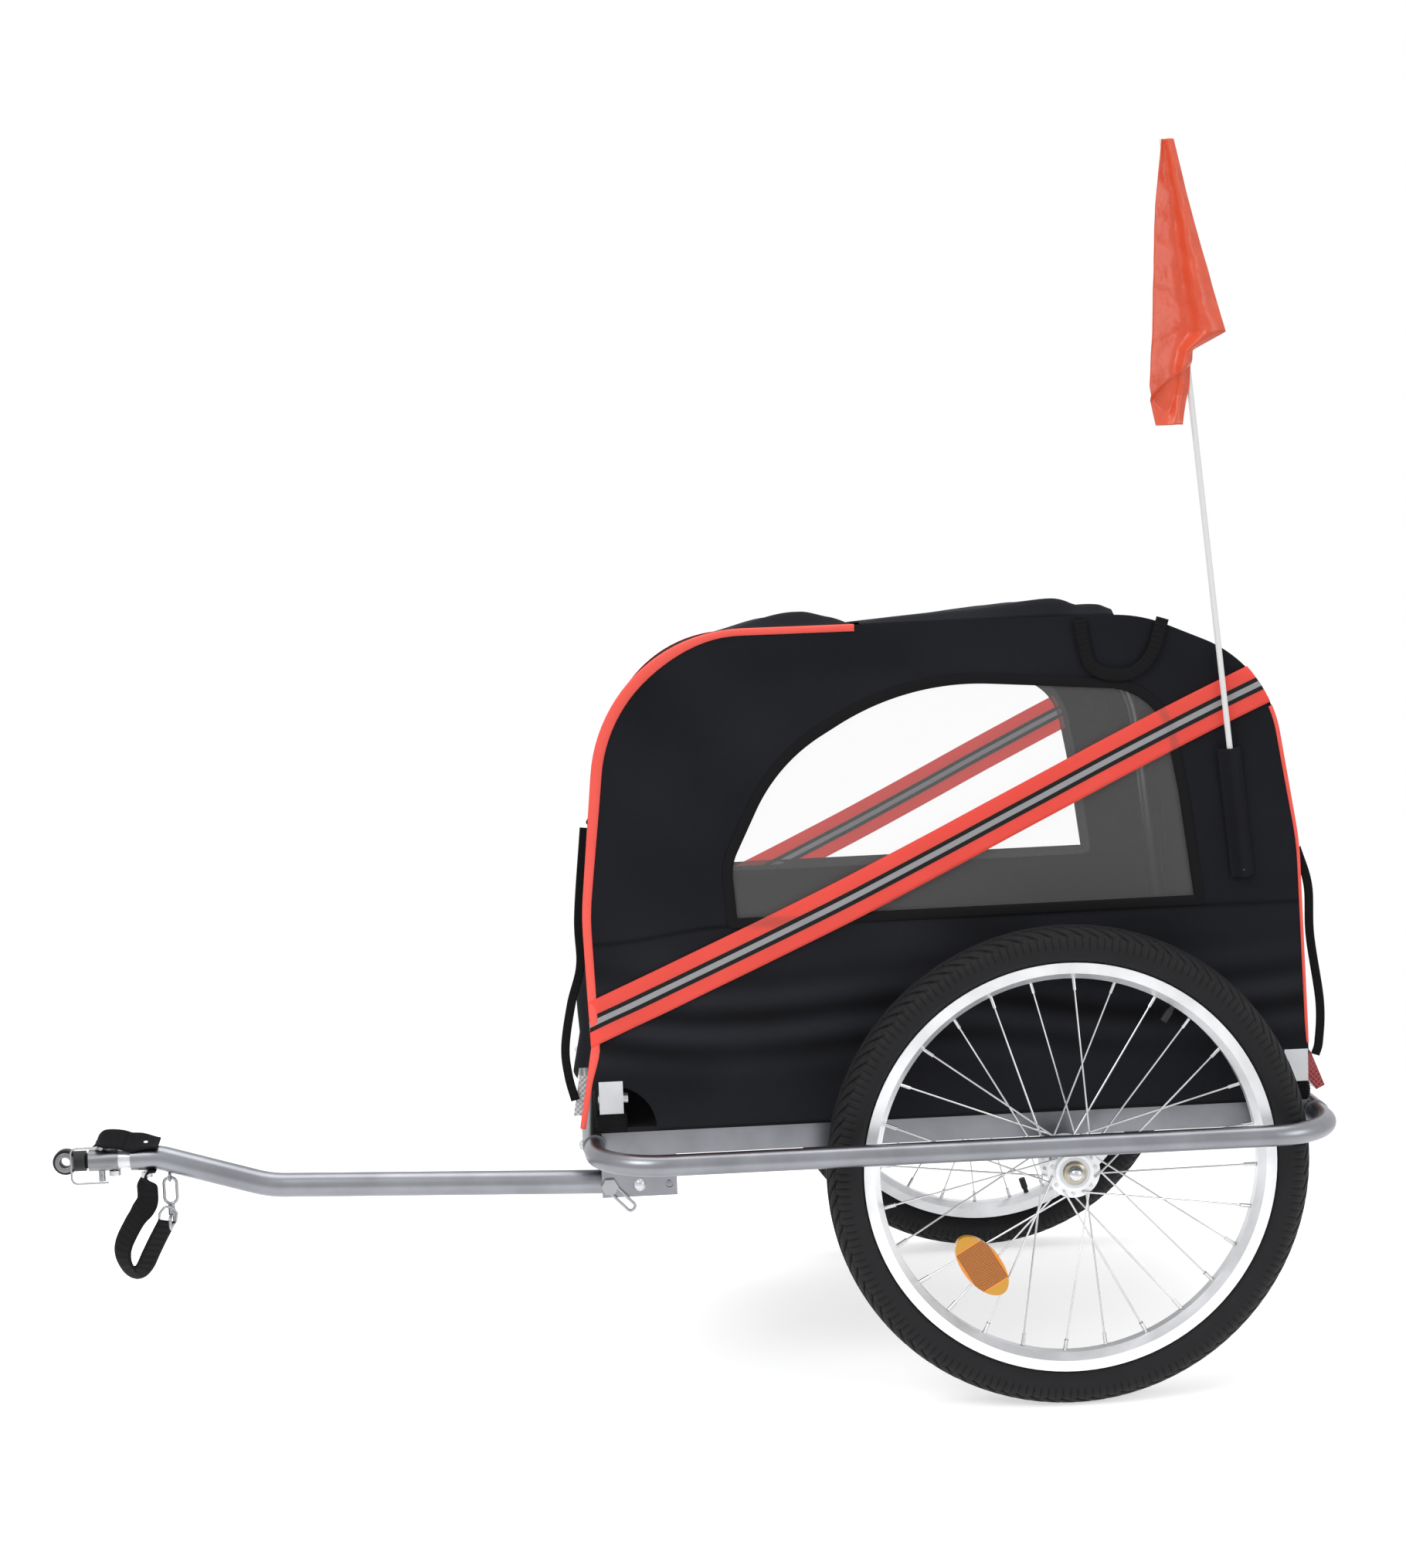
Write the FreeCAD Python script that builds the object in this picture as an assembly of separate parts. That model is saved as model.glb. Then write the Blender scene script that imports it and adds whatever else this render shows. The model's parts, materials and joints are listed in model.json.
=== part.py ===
import FreeCAD, Part
import math
import os

# A two-wheeled pet trailer for a bicycle: a tube frame with wheel guards, two spoked
# wheels, a folding drawbar with a hitch, and a fabric cabin over two folding hoops.
# Lengths are millimetres. Sizes along X are measured from the wheel axle, with the
# drawbar towards -X and the left side at -Y. save() then centres the part on its length.

# Wheels
wheel_d = 500
track = 610
tyre_w = 47
tyre_wall = 3
tyre_bead_w = 4
tyre_crown_drop = 7
tyre_tread_w = 32
tyre_side_drop = 21
tyre_h = 37
bead_gap = 0.4
inner_tube_r = 15
rim_flange_h = 11
rim_bed_drop = 6.5
rim_w = 31
rim_bed_w = 12
rim_wall = 2
valve_r = 3
valve_cap_r = 4
valve_cap_len = 13
valve_reach = 18.5
valve_fit = 0.3
valve_deg = 55.3
right_wheel_turn_deg = 128
spoke_count = 28
spoke_cross = 2
spoke_r = 1
spoke_fit = 0.1
spoke_head_r = 1.9
spoke_head_t = 1
spoke_rim_offset = 2
spoke_first_deg = 87.4
nipple_r = 2
nipple_len = 12
nipple_gap = 0.6
spoke_circle_r = 22.6
hub_flange_r = 27
hub_flange_t = 2
hub_flange_gap = 54
hub_shell_r = 14
hub_boss_r = 19.5
hub_len = 66
hub_bore_r = 9
bearing_r = 16
bearing_w = 10
bearing_race = 3
bearing_shield_drop = 0.6
press_gap = 0.02
wheel_reflector_len = 73
wheel_reflector_w = 39
wheel_reflector_t = 8
wheel_reflector_share = 0.6905
wheel_reflector_deg = 225
wheel_reflector_tilt_deg = -53
wheel_reflector_seat_share = 0.2

# Axles and their push buttons
axle_r = 6
run_fit = 0.05
axle_collar_r = 9
axle_ring_r = 11
axle_ring_t = 2.5
axle_end = 0.5
axle_nut_r = 10
axle_nut_t = 6
side_play = 0.3
button_r = 8.5
button_dome = 6.5
button_stem_r = 3
button_stem_len = 19
button_travel = 3
axle_bracket_w = 32

# Frame
front_tube_inset = 3
rear_tube_out = 5
cross_d = 25
cross_wall = 1.5
cross_stub = 5
frame_rise = 32.5
rail_h = 25
rail_w = 20
rail_wall = 1.5
wheel_room = 50
rail_cope_share = 0.6
weld_gap = 0.05
guard_room = 50
guard_wall = 1.5
guard_bend_r = 70
guard_plug = 40
plug_fit = 0.05
guard_screw_r = 2.5
guard_screw_head_r = 5.5
guard_screw_dome = 4
guard_screw_inset = 12
guard_screw_tail = 1
floor_t = 5
floor_edge_gap = 0.5
floor_notch_gap = 2

# Hinge brackets and hoops
hoop_d = 19
hoop_wall = 1.5
hoop_inset = 8
hoop_front_inset = 19
hoop_rear_inset = 20
hoop_top_inset = 14
hoop_nest = 26
hoop_plug = 16
hoop_eye_share = 0.92
hoop_foot_rise = 70
hoop_foot_bend_r = 150
hoop_front_bend_r = 300
hinge_rise = 47.5
hinge_play = 0.4
bracket_t = 2.5
bracket_below = 14
bracket_above = 20
post_w = 16
hinge_bolt_r = 3
hinge_bolt_head_r = 6
hinge_bolt_head_t = 1.2
hinge_nut_r = 5.5
hinge_nut_h = 5

# Cabin fabric: the side outline and window are shares of the cabin's length and height
cabin_front_x = -488
cabin_length = 754
cabin_height = 512
hem_rise = 16.5
cabin_shares = [(0.009, 0), (0, 0.437), (0.04, 1), (0.773, 1), (0.948, 0.889), (0.988, 0.527), (1, 0)]
cabin_bend_shares = [0.092, 0.497, 0.211, 0.5, 0.103]
window_shares = [(0.204, 0.41), (0.198, 0.53), (0.267, 0.736), (0.452, 0.895), (0.802, 0.856),
                 (0.829, 0.641), (0.849, 0.416)]
window_bend_shares = [0.26, 0.467, 0.534, 0.497, 0.047]
stripe_shares = [(-0.02, 0.197), (0.97, 0.868)]
front_run = 1
rear_run = 4
front_split_share = 0.627
rear_split_share = 0.667
piping_top_share = 0.383
cloth_t = 1.6
cloth_gap = 0.7
layer_gap = 0.3
film_t = 0.5
film_overlap = 6
tape_t = 1
binding_w = 10
stripe_w = 44
piping_w = 12
rear_piping_w = 5
arch_r = 55
corner_cut_w = 30
corner_cut_h = 58
sill_gap = 3
door_kick = 17.4
door_kick_h = 82
door_kick_bend_r = 120
hem_cord_r = 2
rain_cover_start_share = 0.395
rain_cover_length_share = 0.353
rain_cover_h = 20
rain_cover_inset = 30
rain_cover_shares = [(0, 0), (0, 0.12), (0.5, 0.55), (0.77, 1), (0.87, 0.5), (0.97, 0.62), (1, 0.2), (1, 0)]
rain_cover_bend_shares = [0.02, 0.9, 0.9, 0.5, 0.3, 0.2]

# Flag and its pocket: the pole leans, and the pennant's sections are shares of its size
pocket_share = (0.9085, 0.461)
pocket_h = 135
pocket_w = 24
pocket_wall = 2
pole_r = 3
pole_fit = 0.06
pole_len = 747
pole_lean_deg = -5.39
pole_sole = 8
pennant_h = 285
pennant_w = 75
pennant_depth = 16
pennant_t = 1.5
pennant_gap = 0.5
pennant_section_shares = [
    (0.0, [(-0.03, 0.15), (0.0, 0.0), (0.06, 0.25), (0.13, 0.1)]),
    (0.24, [(-0.11, 0.35), (0.086, 0.0), (0.2, 0.6), (0.33, 0.25)]),
    (0.5, [(-0.15, 0.5), (0.179, 0.0), (0.36, 0.85), (0.59, 0.35)]),
    (0.68, [(-0.19, 0.55), (0.243, 0.0), (0.5, 1.0), (0.77, 0.5)]),
    (0.74, [(-0.21, 0.6), (0.1, 0.1), (0.22, 0.8), (0.32, 0.5)]),
    (0.86, [(-0.23, 0.6), (0.0, 0.15), (0.16, 0.8), (0.29, 0.4)]),
    (1.0, [(-0.17, 0.5), (-0.05, 0.3), (0.06, 0.6), (0.17, 0.4)]),
]

# Tie straps and end reflectors
strap_t = 1.5
tie_strap_w = 9
tie_strap_inset = 21
front_strap_bulge = 23.5
front_strap_shares = [(0, 0), (0.08, 0.32), (0.1, 0.5), (0.6, 0.64), (1, 0.8), (0.95, 0.91), (0.74, 1)]
front_strap_end_shares = (0.611, 0.055)
rear_strap_bulge = 17.5
rear_strap_shares = [(0, 0), (0.6, 0.18), (0.55, 0.42), (0.97, 0.74), (0.8, 0.93), (0.54, 1)]
rear_strap_end_shares = (0.508, 0.076)
strap_bend_r = 12
reflector_w = 40
reflector_inset = 22.5
reflector_h = 42
reflector_t = 9
reflector_lean = 15
front_reflector_rise = 11
rear_reflector_rise = 1

# Drawbar and its bracket
drawbar_inset = 19
drawbar_d = 25
drawbar_wall = 2.4
drawbar_tail = 14
pivot_setback = 45
pivot_drop = 44.5
drawbar_bend_x = -822
drawbar_bend_rise = 15.3
drawbar_bend_r = 120
drawbar_nose_bend_x = -935
drawbar_nose_rise = 50.5
drawbar_nose_bend_r = 50
drawbar_nose_x = -963
clevis_play = 0.4
clevis_t = 3
clevis_len = 78
clevis_below = 12
lock_spacing = 31
lock_hole_r = 4.5
pivot_bolt_r = 4
pivot_head_r = 7
pivot_head_h = 4
lock_pin_r = 4
lock_pin_head_r = 9
lock_pin_head_t = 4
pull_link_len = 34
pull_link_w = 9
pull_link_bend_r = 4
pull_link_wire_r = 1.6
pull_link_deg = -46

# Hitch
hitch_inner_front_x = -987
hitch_plug_inset = 20
sleeve_front_x = -1006
sleeve_rear_x = -976
sleeve_wall = 1.2
eye_x = -1030
eye_r = 5.25
eye_outer_r = 13
plate_t = 8
neck_h = 14
knuckle_r = 10.5
knuckle_front_x = -1021
knuckle_rear_x = -1009.5
hitch_pin_x = -994
hitch_pin_r = 3.5
hitch_pin_below = 22
hitch_pin_above = 13
hitch_pin_head_r = 6.5
hitch_pin_head_t = 3
hitch_tail_end = 5
wire_r = 1
wire_side = 17.5
wire_bend_r = 6
wire_front = 28
wire_top = 17
wire_foot = 20
hitch_bolt_x = -980.5
hitch_bolt_r = 2.5
strap_bolt_x = -948
strap_bolt_r = 3
bolt_head_r = 6
bolt_head_h = 3.5
bolt_nut_h = 5

# Safety strap, its eye and its snap hook
strap_w = 25
web_t = 2
strap_gap = 0.3
strap_top_front_x = -984
strap_top_rear_x = -937
strap_route = [(-938, 0), (-966, 0), (-951, -37), (-978, -75), (-968, -114), (-944, -109), (-921.5, -61)]
strap_bends = [8, 30, 22, 12, 12]
eye_ring_r = 4.5
eye_wire_r = 1.2
hook_x = -925
hook_w = 13
hook_h = 27
hook_wire_r = 1.6
hook_bend_r = 6
hook_shank_r = 3.5
hook_shank_len = 12
dring_w = 30
dring_h = 12
dring_wire_r = 1.75
dring_bend_r = 4

overrun = 2

# Values worked out from the sizes above
axle_z = wheel_d / 2
tyre_r = wheel_d / 2
tyre_side_r = tyre_r - tyre_side_drop
rim_flange_r = tyre_r - tyre_h
rim_shoulder_r = rim_flange_r - rim_flange_h
rim_bed_r = rim_shoulder_r - rim_bed_drop
wheel_reflector_r = rim_bed_r * wheel_reflector_share
frame_z = axle_z + frame_rise
hinge_z = frame_z + hinge_rise
hem_z = frame_z + hem_rise
pivot_z = frame_z - pivot_drop
front_reflector_z = hem_z + front_reflector_rise
rear_reflector_z = hem_z + rear_reflector_rise
front_tube_x = cabin_front_x + front_tube_inset
rear_tube_x = cabin_front_x + cabin_length + rear_tube_out
hoop_front_x = front_tube_x + hoop_front_inset
hoop_rear_x = rear_tube_x - hoop_rear_inset
pivot_x = front_tube_x + pivot_setback
rail_outer_y = track / 2 - wheel_room
guard_y = track / 2 + guard_room
cross_half = rail_outer_y + cross_stub
hoop_y = rail_outer_y - hoop_inset
drawbar_y = rail_outer_y - drawbar_inset
tie_strap_y = rail_outer_y - tie_strap_inset
reflector_y = rail_outer_y - reflector_inset - reflector_w
rain_cover_y = rail_outer_y - rain_cover_inset
cross_r = cross_d / 2
guard_r = cross_r - cross_wall - plug_fit
hoop_r = hoop_d / 2
drawbar_r = drawbar_d / 2
hitch_z = pivot_z + drawbar_nose_rise
hitch_inner_r = drawbar_r - drawbar_wall - plug_fit
sleeve_r = hitch_inner_r + plug_fit + sleeve_wall
panel_in = hoop_y + hoop_r + cloth_gap
panel_out = panel_in + cloth_t
sheet_half = panel_in - layer_gap
tape_in = panel_out + layer_gap
stripe_in = tape_in + tape_t + layer_gap
bracket_half = hoop_r + hinge_play + bracket_t
bracket_web_y = hoop_y + hoop_r + hinge_play
rail_inner_y = rail_outer_y - rail_w
rail_top = frame_z + rail_h / 2


def vec(x, y, z):
    return FreeCAD.Vector(x, y, z)


def axle_x():
    """Shift along X that puts the middle of the whole length at 0."""
    tongue_reach = eye_outer_r - eye_x
    lens_x = rear_lens_x() + reflector_t + reflector_lean
    tail_reach = max(rear_tube_x + guard_r, lens_x)
    return (tongue_reach - tail_reach) / 2


def save(name, shapes, side=1):
    """Writes one node; side -1 mirrors shapes made for the left side to the right."""
    whole = Part.makeCompound(shapes) if isinstance(shapes, list) else shapes
    if side == -1:
        whole = whole.mirror(vec(0, 0, 0), vec(0, 1, 0))
    moved = whole.translated(vec(axle_x(), 0, 0))
    moved.exportStep("parts/" + name + ".step")


def box(low, high):
    return Part.makeBox(high[0] - low[0], high[1] - low[1], high[2] - low[2], vec(*low))


def rod(start, end, r):
    return Part.makeCylinder(r, end.sub(start).Length, start, end.sub(start))


def hollow(start, end, r, wall):
    reach = end.sub(start).normalize() * overrun
    return rod(start, end, r).cut(rod(start.sub(reach), end.add(reach), r - wall))


def dome(base, direction, r, height):
    """A shallow cap of a ball, flat at its base."""
    ball_r = (r * r + height * height) / (2 * height)
    along = FreeCAD.Vector(direction).normalize()
    ball = Part.makeSphere(ball_r, base.add(along * (height - ball_r)))
    return ball.common(rod(base, base.add(along * height), r))


def bend_path(points, radii):
    """Straight runs joined by tangent arcs; radii belong to the inner points."""
    edges = []
    last = points[0]
    for i in range(1, len(points) - 1):
        here = points[i]
        back = points[i - 1].sub(here).normalize()
        ahead = points[i + 1].sub(here).normalize()
        half = math.acos(max(-1, min(1, back.dot(ahead)))) / 2
        reach = radii[i - 1] / math.tan(half)
        start = here.add(back * reach)
        end = here.add(ahead * reach)
        middle_way = back.add(ahead).normalize()
        middle = here.add(middle_way * (radii[i - 1] / math.sin(half) - radii[i - 1]))
        edges.append(Part.makeLine(last, start))
        edges.append(Part.Arc(start, middle, end).toShape())
        last = end
    edges.append(Part.makeLine(last, points[-1]))
    return edges


def pipe(points, radii, r):
    path = Part.Wire(bend_path(points, radii))
    ring = Part.Wire(Part.makeCircle(r, points[0], points[1].sub(points[0])))
    return path.makePipeShell([ring], True, False)


def pipe_loop(points, bend_r, r):
    """A closed ring of wire through the corner points."""
    start = points[0].add(points[1]) * 0.5
    corners = points[1:] + points[:1]
    return pipe([start] + corners + [start], [bend_r] * len(corners), r)


def offset(points, radii, distance):
    """Moves an (x, z) line sideways, to the right of its travel, and fits its bends."""
    ways = []
    for a, b in zip(points, points[1:]):
        length = math.hypot(b[0] - a[0], b[1] - a[1])
        ways.append(((b[0] - a[0]) / length, (b[1] - a[1]) / length))
    moved = [(points[0][0] + ways[0][1] * distance, points[0][1] - ways[0][0] * distance)]
    bends = []
    for i in range(1, len(points) - 1):
        before, after = ways[i - 1], ways[i]
        turn = before[0] * after[1] - before[1] * after[0]
        lean = 1 + before[0] * after[0] + before[1] * after[1]
        shift_x = (before[1] + after[1]) / lean * distance
        shift_z = -(before[0] + after[0]) / lean * distance
        moved.append((points[i][0] + shift_x, points[i][1] + shift_z))
        bends.append(radii[i - 1] + (distance if turn > 0 else -distance))
    moved.append((points[-1][0] + ways[-1][1] * distance, points[-1][1] - ways[-1][0] * distance))
    return moved, bends


def flat_points(points):
    return [vec(x, 0, z) for x, z in points]


def slab(edges, y_from, y_to):
    """A closed outline in the XZ plane, given thickness along Y."""
    wire = Part.Wire(Part.__sortEdges__(edges))
    face = Part.Face(wire)
    solid = face.extrude(vec(0, y_to - y_from, 0))
    return solid.translated(vec(0, y_from, 0))


def plate(points, radii, y_from, y_to):
    """The area between a bent line and the straight line that closes it."""
    line = flat_points(points)
    return slab(bend_path(line, radii) + [Part.makeLine(line[-1], line[0])], y_from, y_to)


def ribbon_edges(points, radii, side_a, side_b):
    """Outline of a strip along a bent line, between two sideways distances."""
    a_points, a_bends = offset(points, radii, side_a)
    b_points, b_bends = offset(points, radii, side_b)
    a_line = flat_points(a_points)
    b_line = flat_points(b_points)
    edges = bend_path(a_line, a_bends) + bend_path(b_line, b_bends)
    edges.append(Part.makeLine(a_line[0], b_line[0]))
    edges.append(Part.makeLine(a_line[-1], b_line[-1]))
    return edges


def ribbon(points, radii, side_a, side_b, y_from, y_to):
    return slab(ribbon_edges(points, radii, side_a, side_b), y_from, y_to)


def run_bends(points, shares):
    """Bend radii whose arcs take a share of the shorter run beside each inner point."""
    radii = []
    for before, here, after, share in zip(points, points[1:], points[2:], shares):
        back = vec(before[0] - here[0], 0, before[1] - here[1])
        ahead = vec(after[0] - here[0], 0, after[1] - here[1])
        radii.append(share * min(back.Length, ahead.Length) * math.tan(back.getAngle(ahead) / 2))
    return radii


def spin(profile):
    """A closed (radius, y) outline turned about the Y axis."""
    line = [vec(r, y, 0) for r, y in profile]
    face = Part.Face(Part.makePolygon(line + [line[0]]))
    return face.revolve(vec(0, 0, 0), vec(0, 1, 0), 360)


def to_left_wheel(shape):
    return shape.translated(vec(0, -track / 2, axle_z))


def to_right_wheel(shape):
    """The mirrored wheel, turned so that its valve stands where it should."""
    mirrored = shape.mirror(vec(0, 0, 0), vec(0, 1, 0))
    turned = mirrored.rotated(vec(0, 0, 0), vec(0, 1, 0), right_wheel_turn_deg)
    return turned.translated(vec(0, track / 2, axle_z))


def on_wheel(r, deg, y):
    return vec(r * math.cos(math.radians(deg)), y, r * math.sin(math.radians(deg)))


def save_wheel_part(name, shapes):
    """Saves one wheel piece for each side; a wheel is made with its outer face at -Y."""
    whole = Part.makeCompound(shapes) if isinstance(shapes, list) else shapes
    save("left_" + name, to_left_wheel(whole))
    save("right_" + name, to_right_wheel(whole))


# Rim: an alloy channel with holes for the valve
def make_rim():
    half = rim_w / 2
    bed = rim_bed_w / 2
    inner_bed = bed - rim_wall / 2
    shoulder_in = rim_shoulder_r + rim_wall
    bed_in = rim_bed_r + rim_wall
    channel = spin([
        (rim_flange_r, -half), (rim_shoulder_r, -half), (rim_bed_r, -bed),
        (rim_bed_r, bed), (rim_shoulder_r, half), (rim_flange_r, half),
        (rim_flange_r, half - rim_wall), (shoulder_in, half - rim_wall), (bed_in, inner_bed),
        (bed_in, -inner_bed), (shoulder_in, rim_wall - half), (rim_flange_r, rim_wall - half)])
    hole = rod(on_wheel(rim_bed_r - rim_wall, valve_deg, 0), on_wheel(rim_flange_r, valve_deg, 0),
               valve_r + valve_fit)
    return channel.cut(hole)


# Tyre: a hollow casing whose beads sit inside the rim's flanges
def make_tyre():
    bead_out = rim_w / 2 - rim_wall - bead_gap
    bead_in = bead_out - tyre_bead_w
    bead_r = rim_shoulder_r + rim_wall + bead_gap
    leave_r = rim_flange_r + bead_gap
    tread = tyre_tread_w / 2
    shoulder_r = tyre_r - tyre_crown_drop
    side = tyre_w / 2

    def wall(bead, side_y, tread_y, shoulder, crown):
        points = {
            "bead": vec(bead_r, bead, 0), "leave": vec(leave_r, bead, 0),
            "side": vec(tyre_side_r, side_y, 0), "shoulder": vec(shoulder, tread_y, 0),
            "crown": vec(crown, 0, 0)}
        far = {key: vec(p.x, -p.y, 0) for key, p in points.items()}
        return [
            Part.makeLine(points["bead"], points["leave"]),
            Part.Arc(points["leave"], points["side"], points["shoulder"]).toShape(),
            Part.Arc(points["shoulder"], points["crown"], far["shoulder"]).toShape(),
            Part.Arc(far["shoulder"], far["side"], far["leave"]).toShape(),
            Part.makeLine(far["leave"], far["bead"])]

    edges = wall(bead_out, side, tread, shoulder_r, tyre_r)
    edges += wall(bead_in, side - tyre_wall, tread - tyre_wall, shoulder_r - tyre_wall, tyre_r - tyre_wall)
    for sign in (-1, 1):
        edges.append(Part.makeLine(vec(bead_r, sign * bead_in, 0), vec(bead_r, sign * bead_out, 0)))
    face = Part.Face(Part.Wire(Part.__sortEdges__(edges)))
    return face.revolve(vec(0, 0, 0), vec(0, 1, 0), 360)


# Inner tube: a ring of air with a valve stem and cap through the rim
def make_inner_tube():
    tube_ring_r = tyre_r - tyre_wall - inner_tube_r - bead_gap
    ring = Part.makeTorus(tube_ring_r, inner_tube_r, vec(0, 0, 0), vec(0, 1, 0))
    tip = rim_bed_r - valve_reach
    stem = rod(on_wheel(tip, valve_deg, 0), on_wheel(tube_ring_r, valve_deg, 0), valve_r)
    cap = rod(on_wheel(tip, valve_deg, 0), on_wheel(tip + valve_cap_len, valve_deg, 0), valve_cap_r)
    return ring.fuse([stem, cap])


# Hub: a shell with two drilled flanges and a seat for a bearing at each end
def make_hub():
    end = hub_len / 2
    face_out = hub_flange_gap / 2 + hub_flange_t / 2
    face_in = face_out - hub_flange_t
    seat = bearing_r + press_gap
    floor = end - bearing_w
    shell = spin([
        (seat, -end), (hub_boss_r, -end), (hub_boss_r, -face_out), (hub_flange_r, -face_out),
        (hub_flange_r, -face_in), (hub_shell_r, -face_in), (hub_shell_r, face_in),
        (hub_flange_r, face_in), (hub_flange_r, face_out), (hub_boss_r, face_out), (hub_boss_r, end),
        (seat, end), (seat, floor), (hub_bore_r, floor), (hub_bore_r, -floor), (seat, -floor)])
    holes = []
    for flange in (-1, 1):
        for hole in range(spoke_count // 2):
            deg = hub_hole_deg(flange, hole)
            low = on_wheel(spoke_circle_r, deg, flange * (face_in - overrun))
            high = on_wheel(spoke_circle_r, deg, flange * (face_out + overrun))
            holes.append(rod(low, high, spoke_r + spoke_fit))
    return shell.cut(Part.makeCompound(holes))


def make_bearings():
    half = bearing_w / 2
    bore = axle_r + run_fit
    shield = half - bearing_shield_drop
    inner = bore + bearing_race
    outer = bearing_r - bearing_race
    ring = spin([
        (bore, -half), (inner, -half), (inner, -shield), (outer, -shield), (outer, -half),
        (bearing_r, -half), (bearing_r, half), (outer, half), (outer, shield), (inner, shield),
        (inner, half), (bore, half)])
    centre = hub_len / 2 - half
    return [ring.translated(vec(0, sign * centre, 0)) for sign in (-1, 1)]


# Spokes: crossed lacing, half to each flange, alternately outside and inside the flange
def hub_hole_deg(flange, hole):
    pitch = 360 / (spoke_count // 2)
    stagger = 0 if flange == -1 else pitch / 2
    return spoke_first_deg + stagger + hole * pitch


def spoke_line(flange, hole):
    """Start and end of a spoke's straight run, and whether it runs outside its flange."""
    outside = hole % 2 == 0
    pitch = 360 / (spoke_count // 2)
    hub_deg = hub_hole_deg(flange, hole)
    rim_deg = hub_deg + (spoke_cross if outside else -spoke_cross) * pitch
    run = rim_bed_r - spoke_circle_r
    edge_run = math.sqrt(hub_flange_r ** 2 - spoke_circle_r ** 2)
    clear = hub_flange_t / 2 + spoke_r + spoke_fit
    if outside:
        side = hub_flange_gap / 2 + clear + edge_run * hub_flange_gap / 2 / run
    else:
        side = hub_flange_gap / 2 - clear
    start = on_wheel(spoke_circle_r, hub_deg, flange * side)
    end = on_wheel(rim_bed_r - nipple_gap, rim_deg, flange * spoke_rim_offset)
    return start, end, outside


def make_spokes():
    spokes = []
    for flange in (-1, 1):
        for hole in range(spoke_count // 2):
            start, end, outside = spoke_line(flange, hole)
            away = -flange if outside else flange
            face = flange * hub_flange_gap / 2 + away * (hub_flange_t / 2 + spoke_fit)
            elbow_end = vec(start.x, face + away * spoke_head_t, start.z)
            head = rod(vec(start.x, face, start.z), elbow_end, spoke_head_r)
            along = end.sub(start).normalize()
            nipple = rod(end.sub(along * nipple_len), end, nipple_r)
            corner = Part.makeSphere(spoke_r, start)
            elbow = rod(start, elbow_end, spoke_r)
            spokes.append(rod(start, end, spoke_r).fuse([corner, elbow, head, nipple]))
    return spokes


# Wheel reflector: an oval that lies on the outer spokes
def make_wheel_reflector():
    start, end, outside = spoke_line(-1, 0)
    near_r = wheel_reflector_r - wheel_reflector_w / 2 * wheel_reflector_seat_share
    run = end.sub(start)
    a = run.x ** 2 + run.z ** 2
    b = start.x * run.x + start.z * run.z
    c = start.x ** 2 + start.z ** 2 - near_r ** 2
    at = (math.sqrt(b * b - a * c) - b) / a
    back = start.y + at * run.y - spoke_r - side_play
    oval = Part.Ellipse(vec(0, 0, 0), wheel_reflector_len / 2, wheel_reflector_w / 2).toShape()
    solid = Part.Face(Part.Wire(oval)).extrude(vec(0, 0, wheel_reflector_t))
    solid = solid.rotated(vec(0, 0, 0), vec(1, 0, 0), 90)
    solid = solid.rotated(vec(0, 0, 0), vec(0, 1, 0), -wheel_reflector_tilt_deg)
    centre = on_wheel(wheel_reflector_r, wheel_reflector_deg, back)
    return solid.translated(centre)


# Axle: fixed in its bracket, with a shoulder, an outer ring, a nut and a bore for the button
def axle_out(distance):
    """Y of a place on the left axle, measured outwards from the wheel's middle."""
    return -track / 2 - distance


def on_axle(y):
    return vec(0, y, axle_z)


def make_axle():
    end = hub_len / 2 + side_play + axle_ring_t + axle_end
    ring_start = hub_len / 2 + side_play
    shaft = rod(on_axle(axle_out(end)), on_axle(axle_nut_t - rail_inner_y), axle_r)
    ring = rod(on_axle(axle_out(ring_start + axle_ring_t)), on_axle(axle_out(ring_start)), axle_ring_r)
    collar_start = axle_out(-hub_len / 2 - side_play)
    collar = rod(on_axle(collar_start), on_axle(-rail_outer_y - weld_gap), axle_collar_r)
    nut = rod(on_axle(weld_gap - rail_inner_y), on_axle(axle_nut_t - rail_inner_y), axle_nut_r)
    depth = button_stem_len + button_travel + overrun
    bore = rod(on_axle(axle_out(end + overrun)), on_axle(axle_out(end - depth)), button_stem_r + run_fit)
    return shaft.fuse([ring, collar, nut]).cut(bore)


def make_axle_button():
    end = hub_len / 2 + side_play + axle_ring_t + axle_end
    under = end + button_travel + side_play
    stem = rod(on_axle(axle_out(under + weld_gap)), on_axle(axle_out(end - button_stem_len)), button_stem_r)
    return stem.fuse(dome(on_axle(axle_out(under)), vec(0, -1, 0), button_r, button_dome))


def make_axle_bracket():
    half = axle_bracket_w / 2
    block = box((-half, -rail_outer_y, axle_z), (half, -rail_inner_y, frame_z - rail_h / 2))
    foot = rod(on_axle(-rail_outer_y), on_axle(-rail_inner_y), half)
    bore = rod(on_axle(-rail_outer_y - overrun), on_axle(overrun - rail_inner_y), axle_r + run_fit)
    return block.fuse(foot).cut(bore).removeSplitter()


# Frame tubes
def guard_screw_line(tube_x, y):
    """Outer end, and direction inwards, of a guard's screw at one end of a cross tube."""
    way = 1 if tube_x < 0 else -1
    return vec(tube_x - way * cross_r, y, frame_z), vec(way, 0, 0)


def guard_screw_hole(tube_x, y):
    outer, way = guard_screw_line(tube_x, y)
    depth = cross_wall + guard_wall + overrun
    return rod(outer.sub(way * overrun), outer.add(way * depth), guard_screw_r + run_fit)


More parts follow.
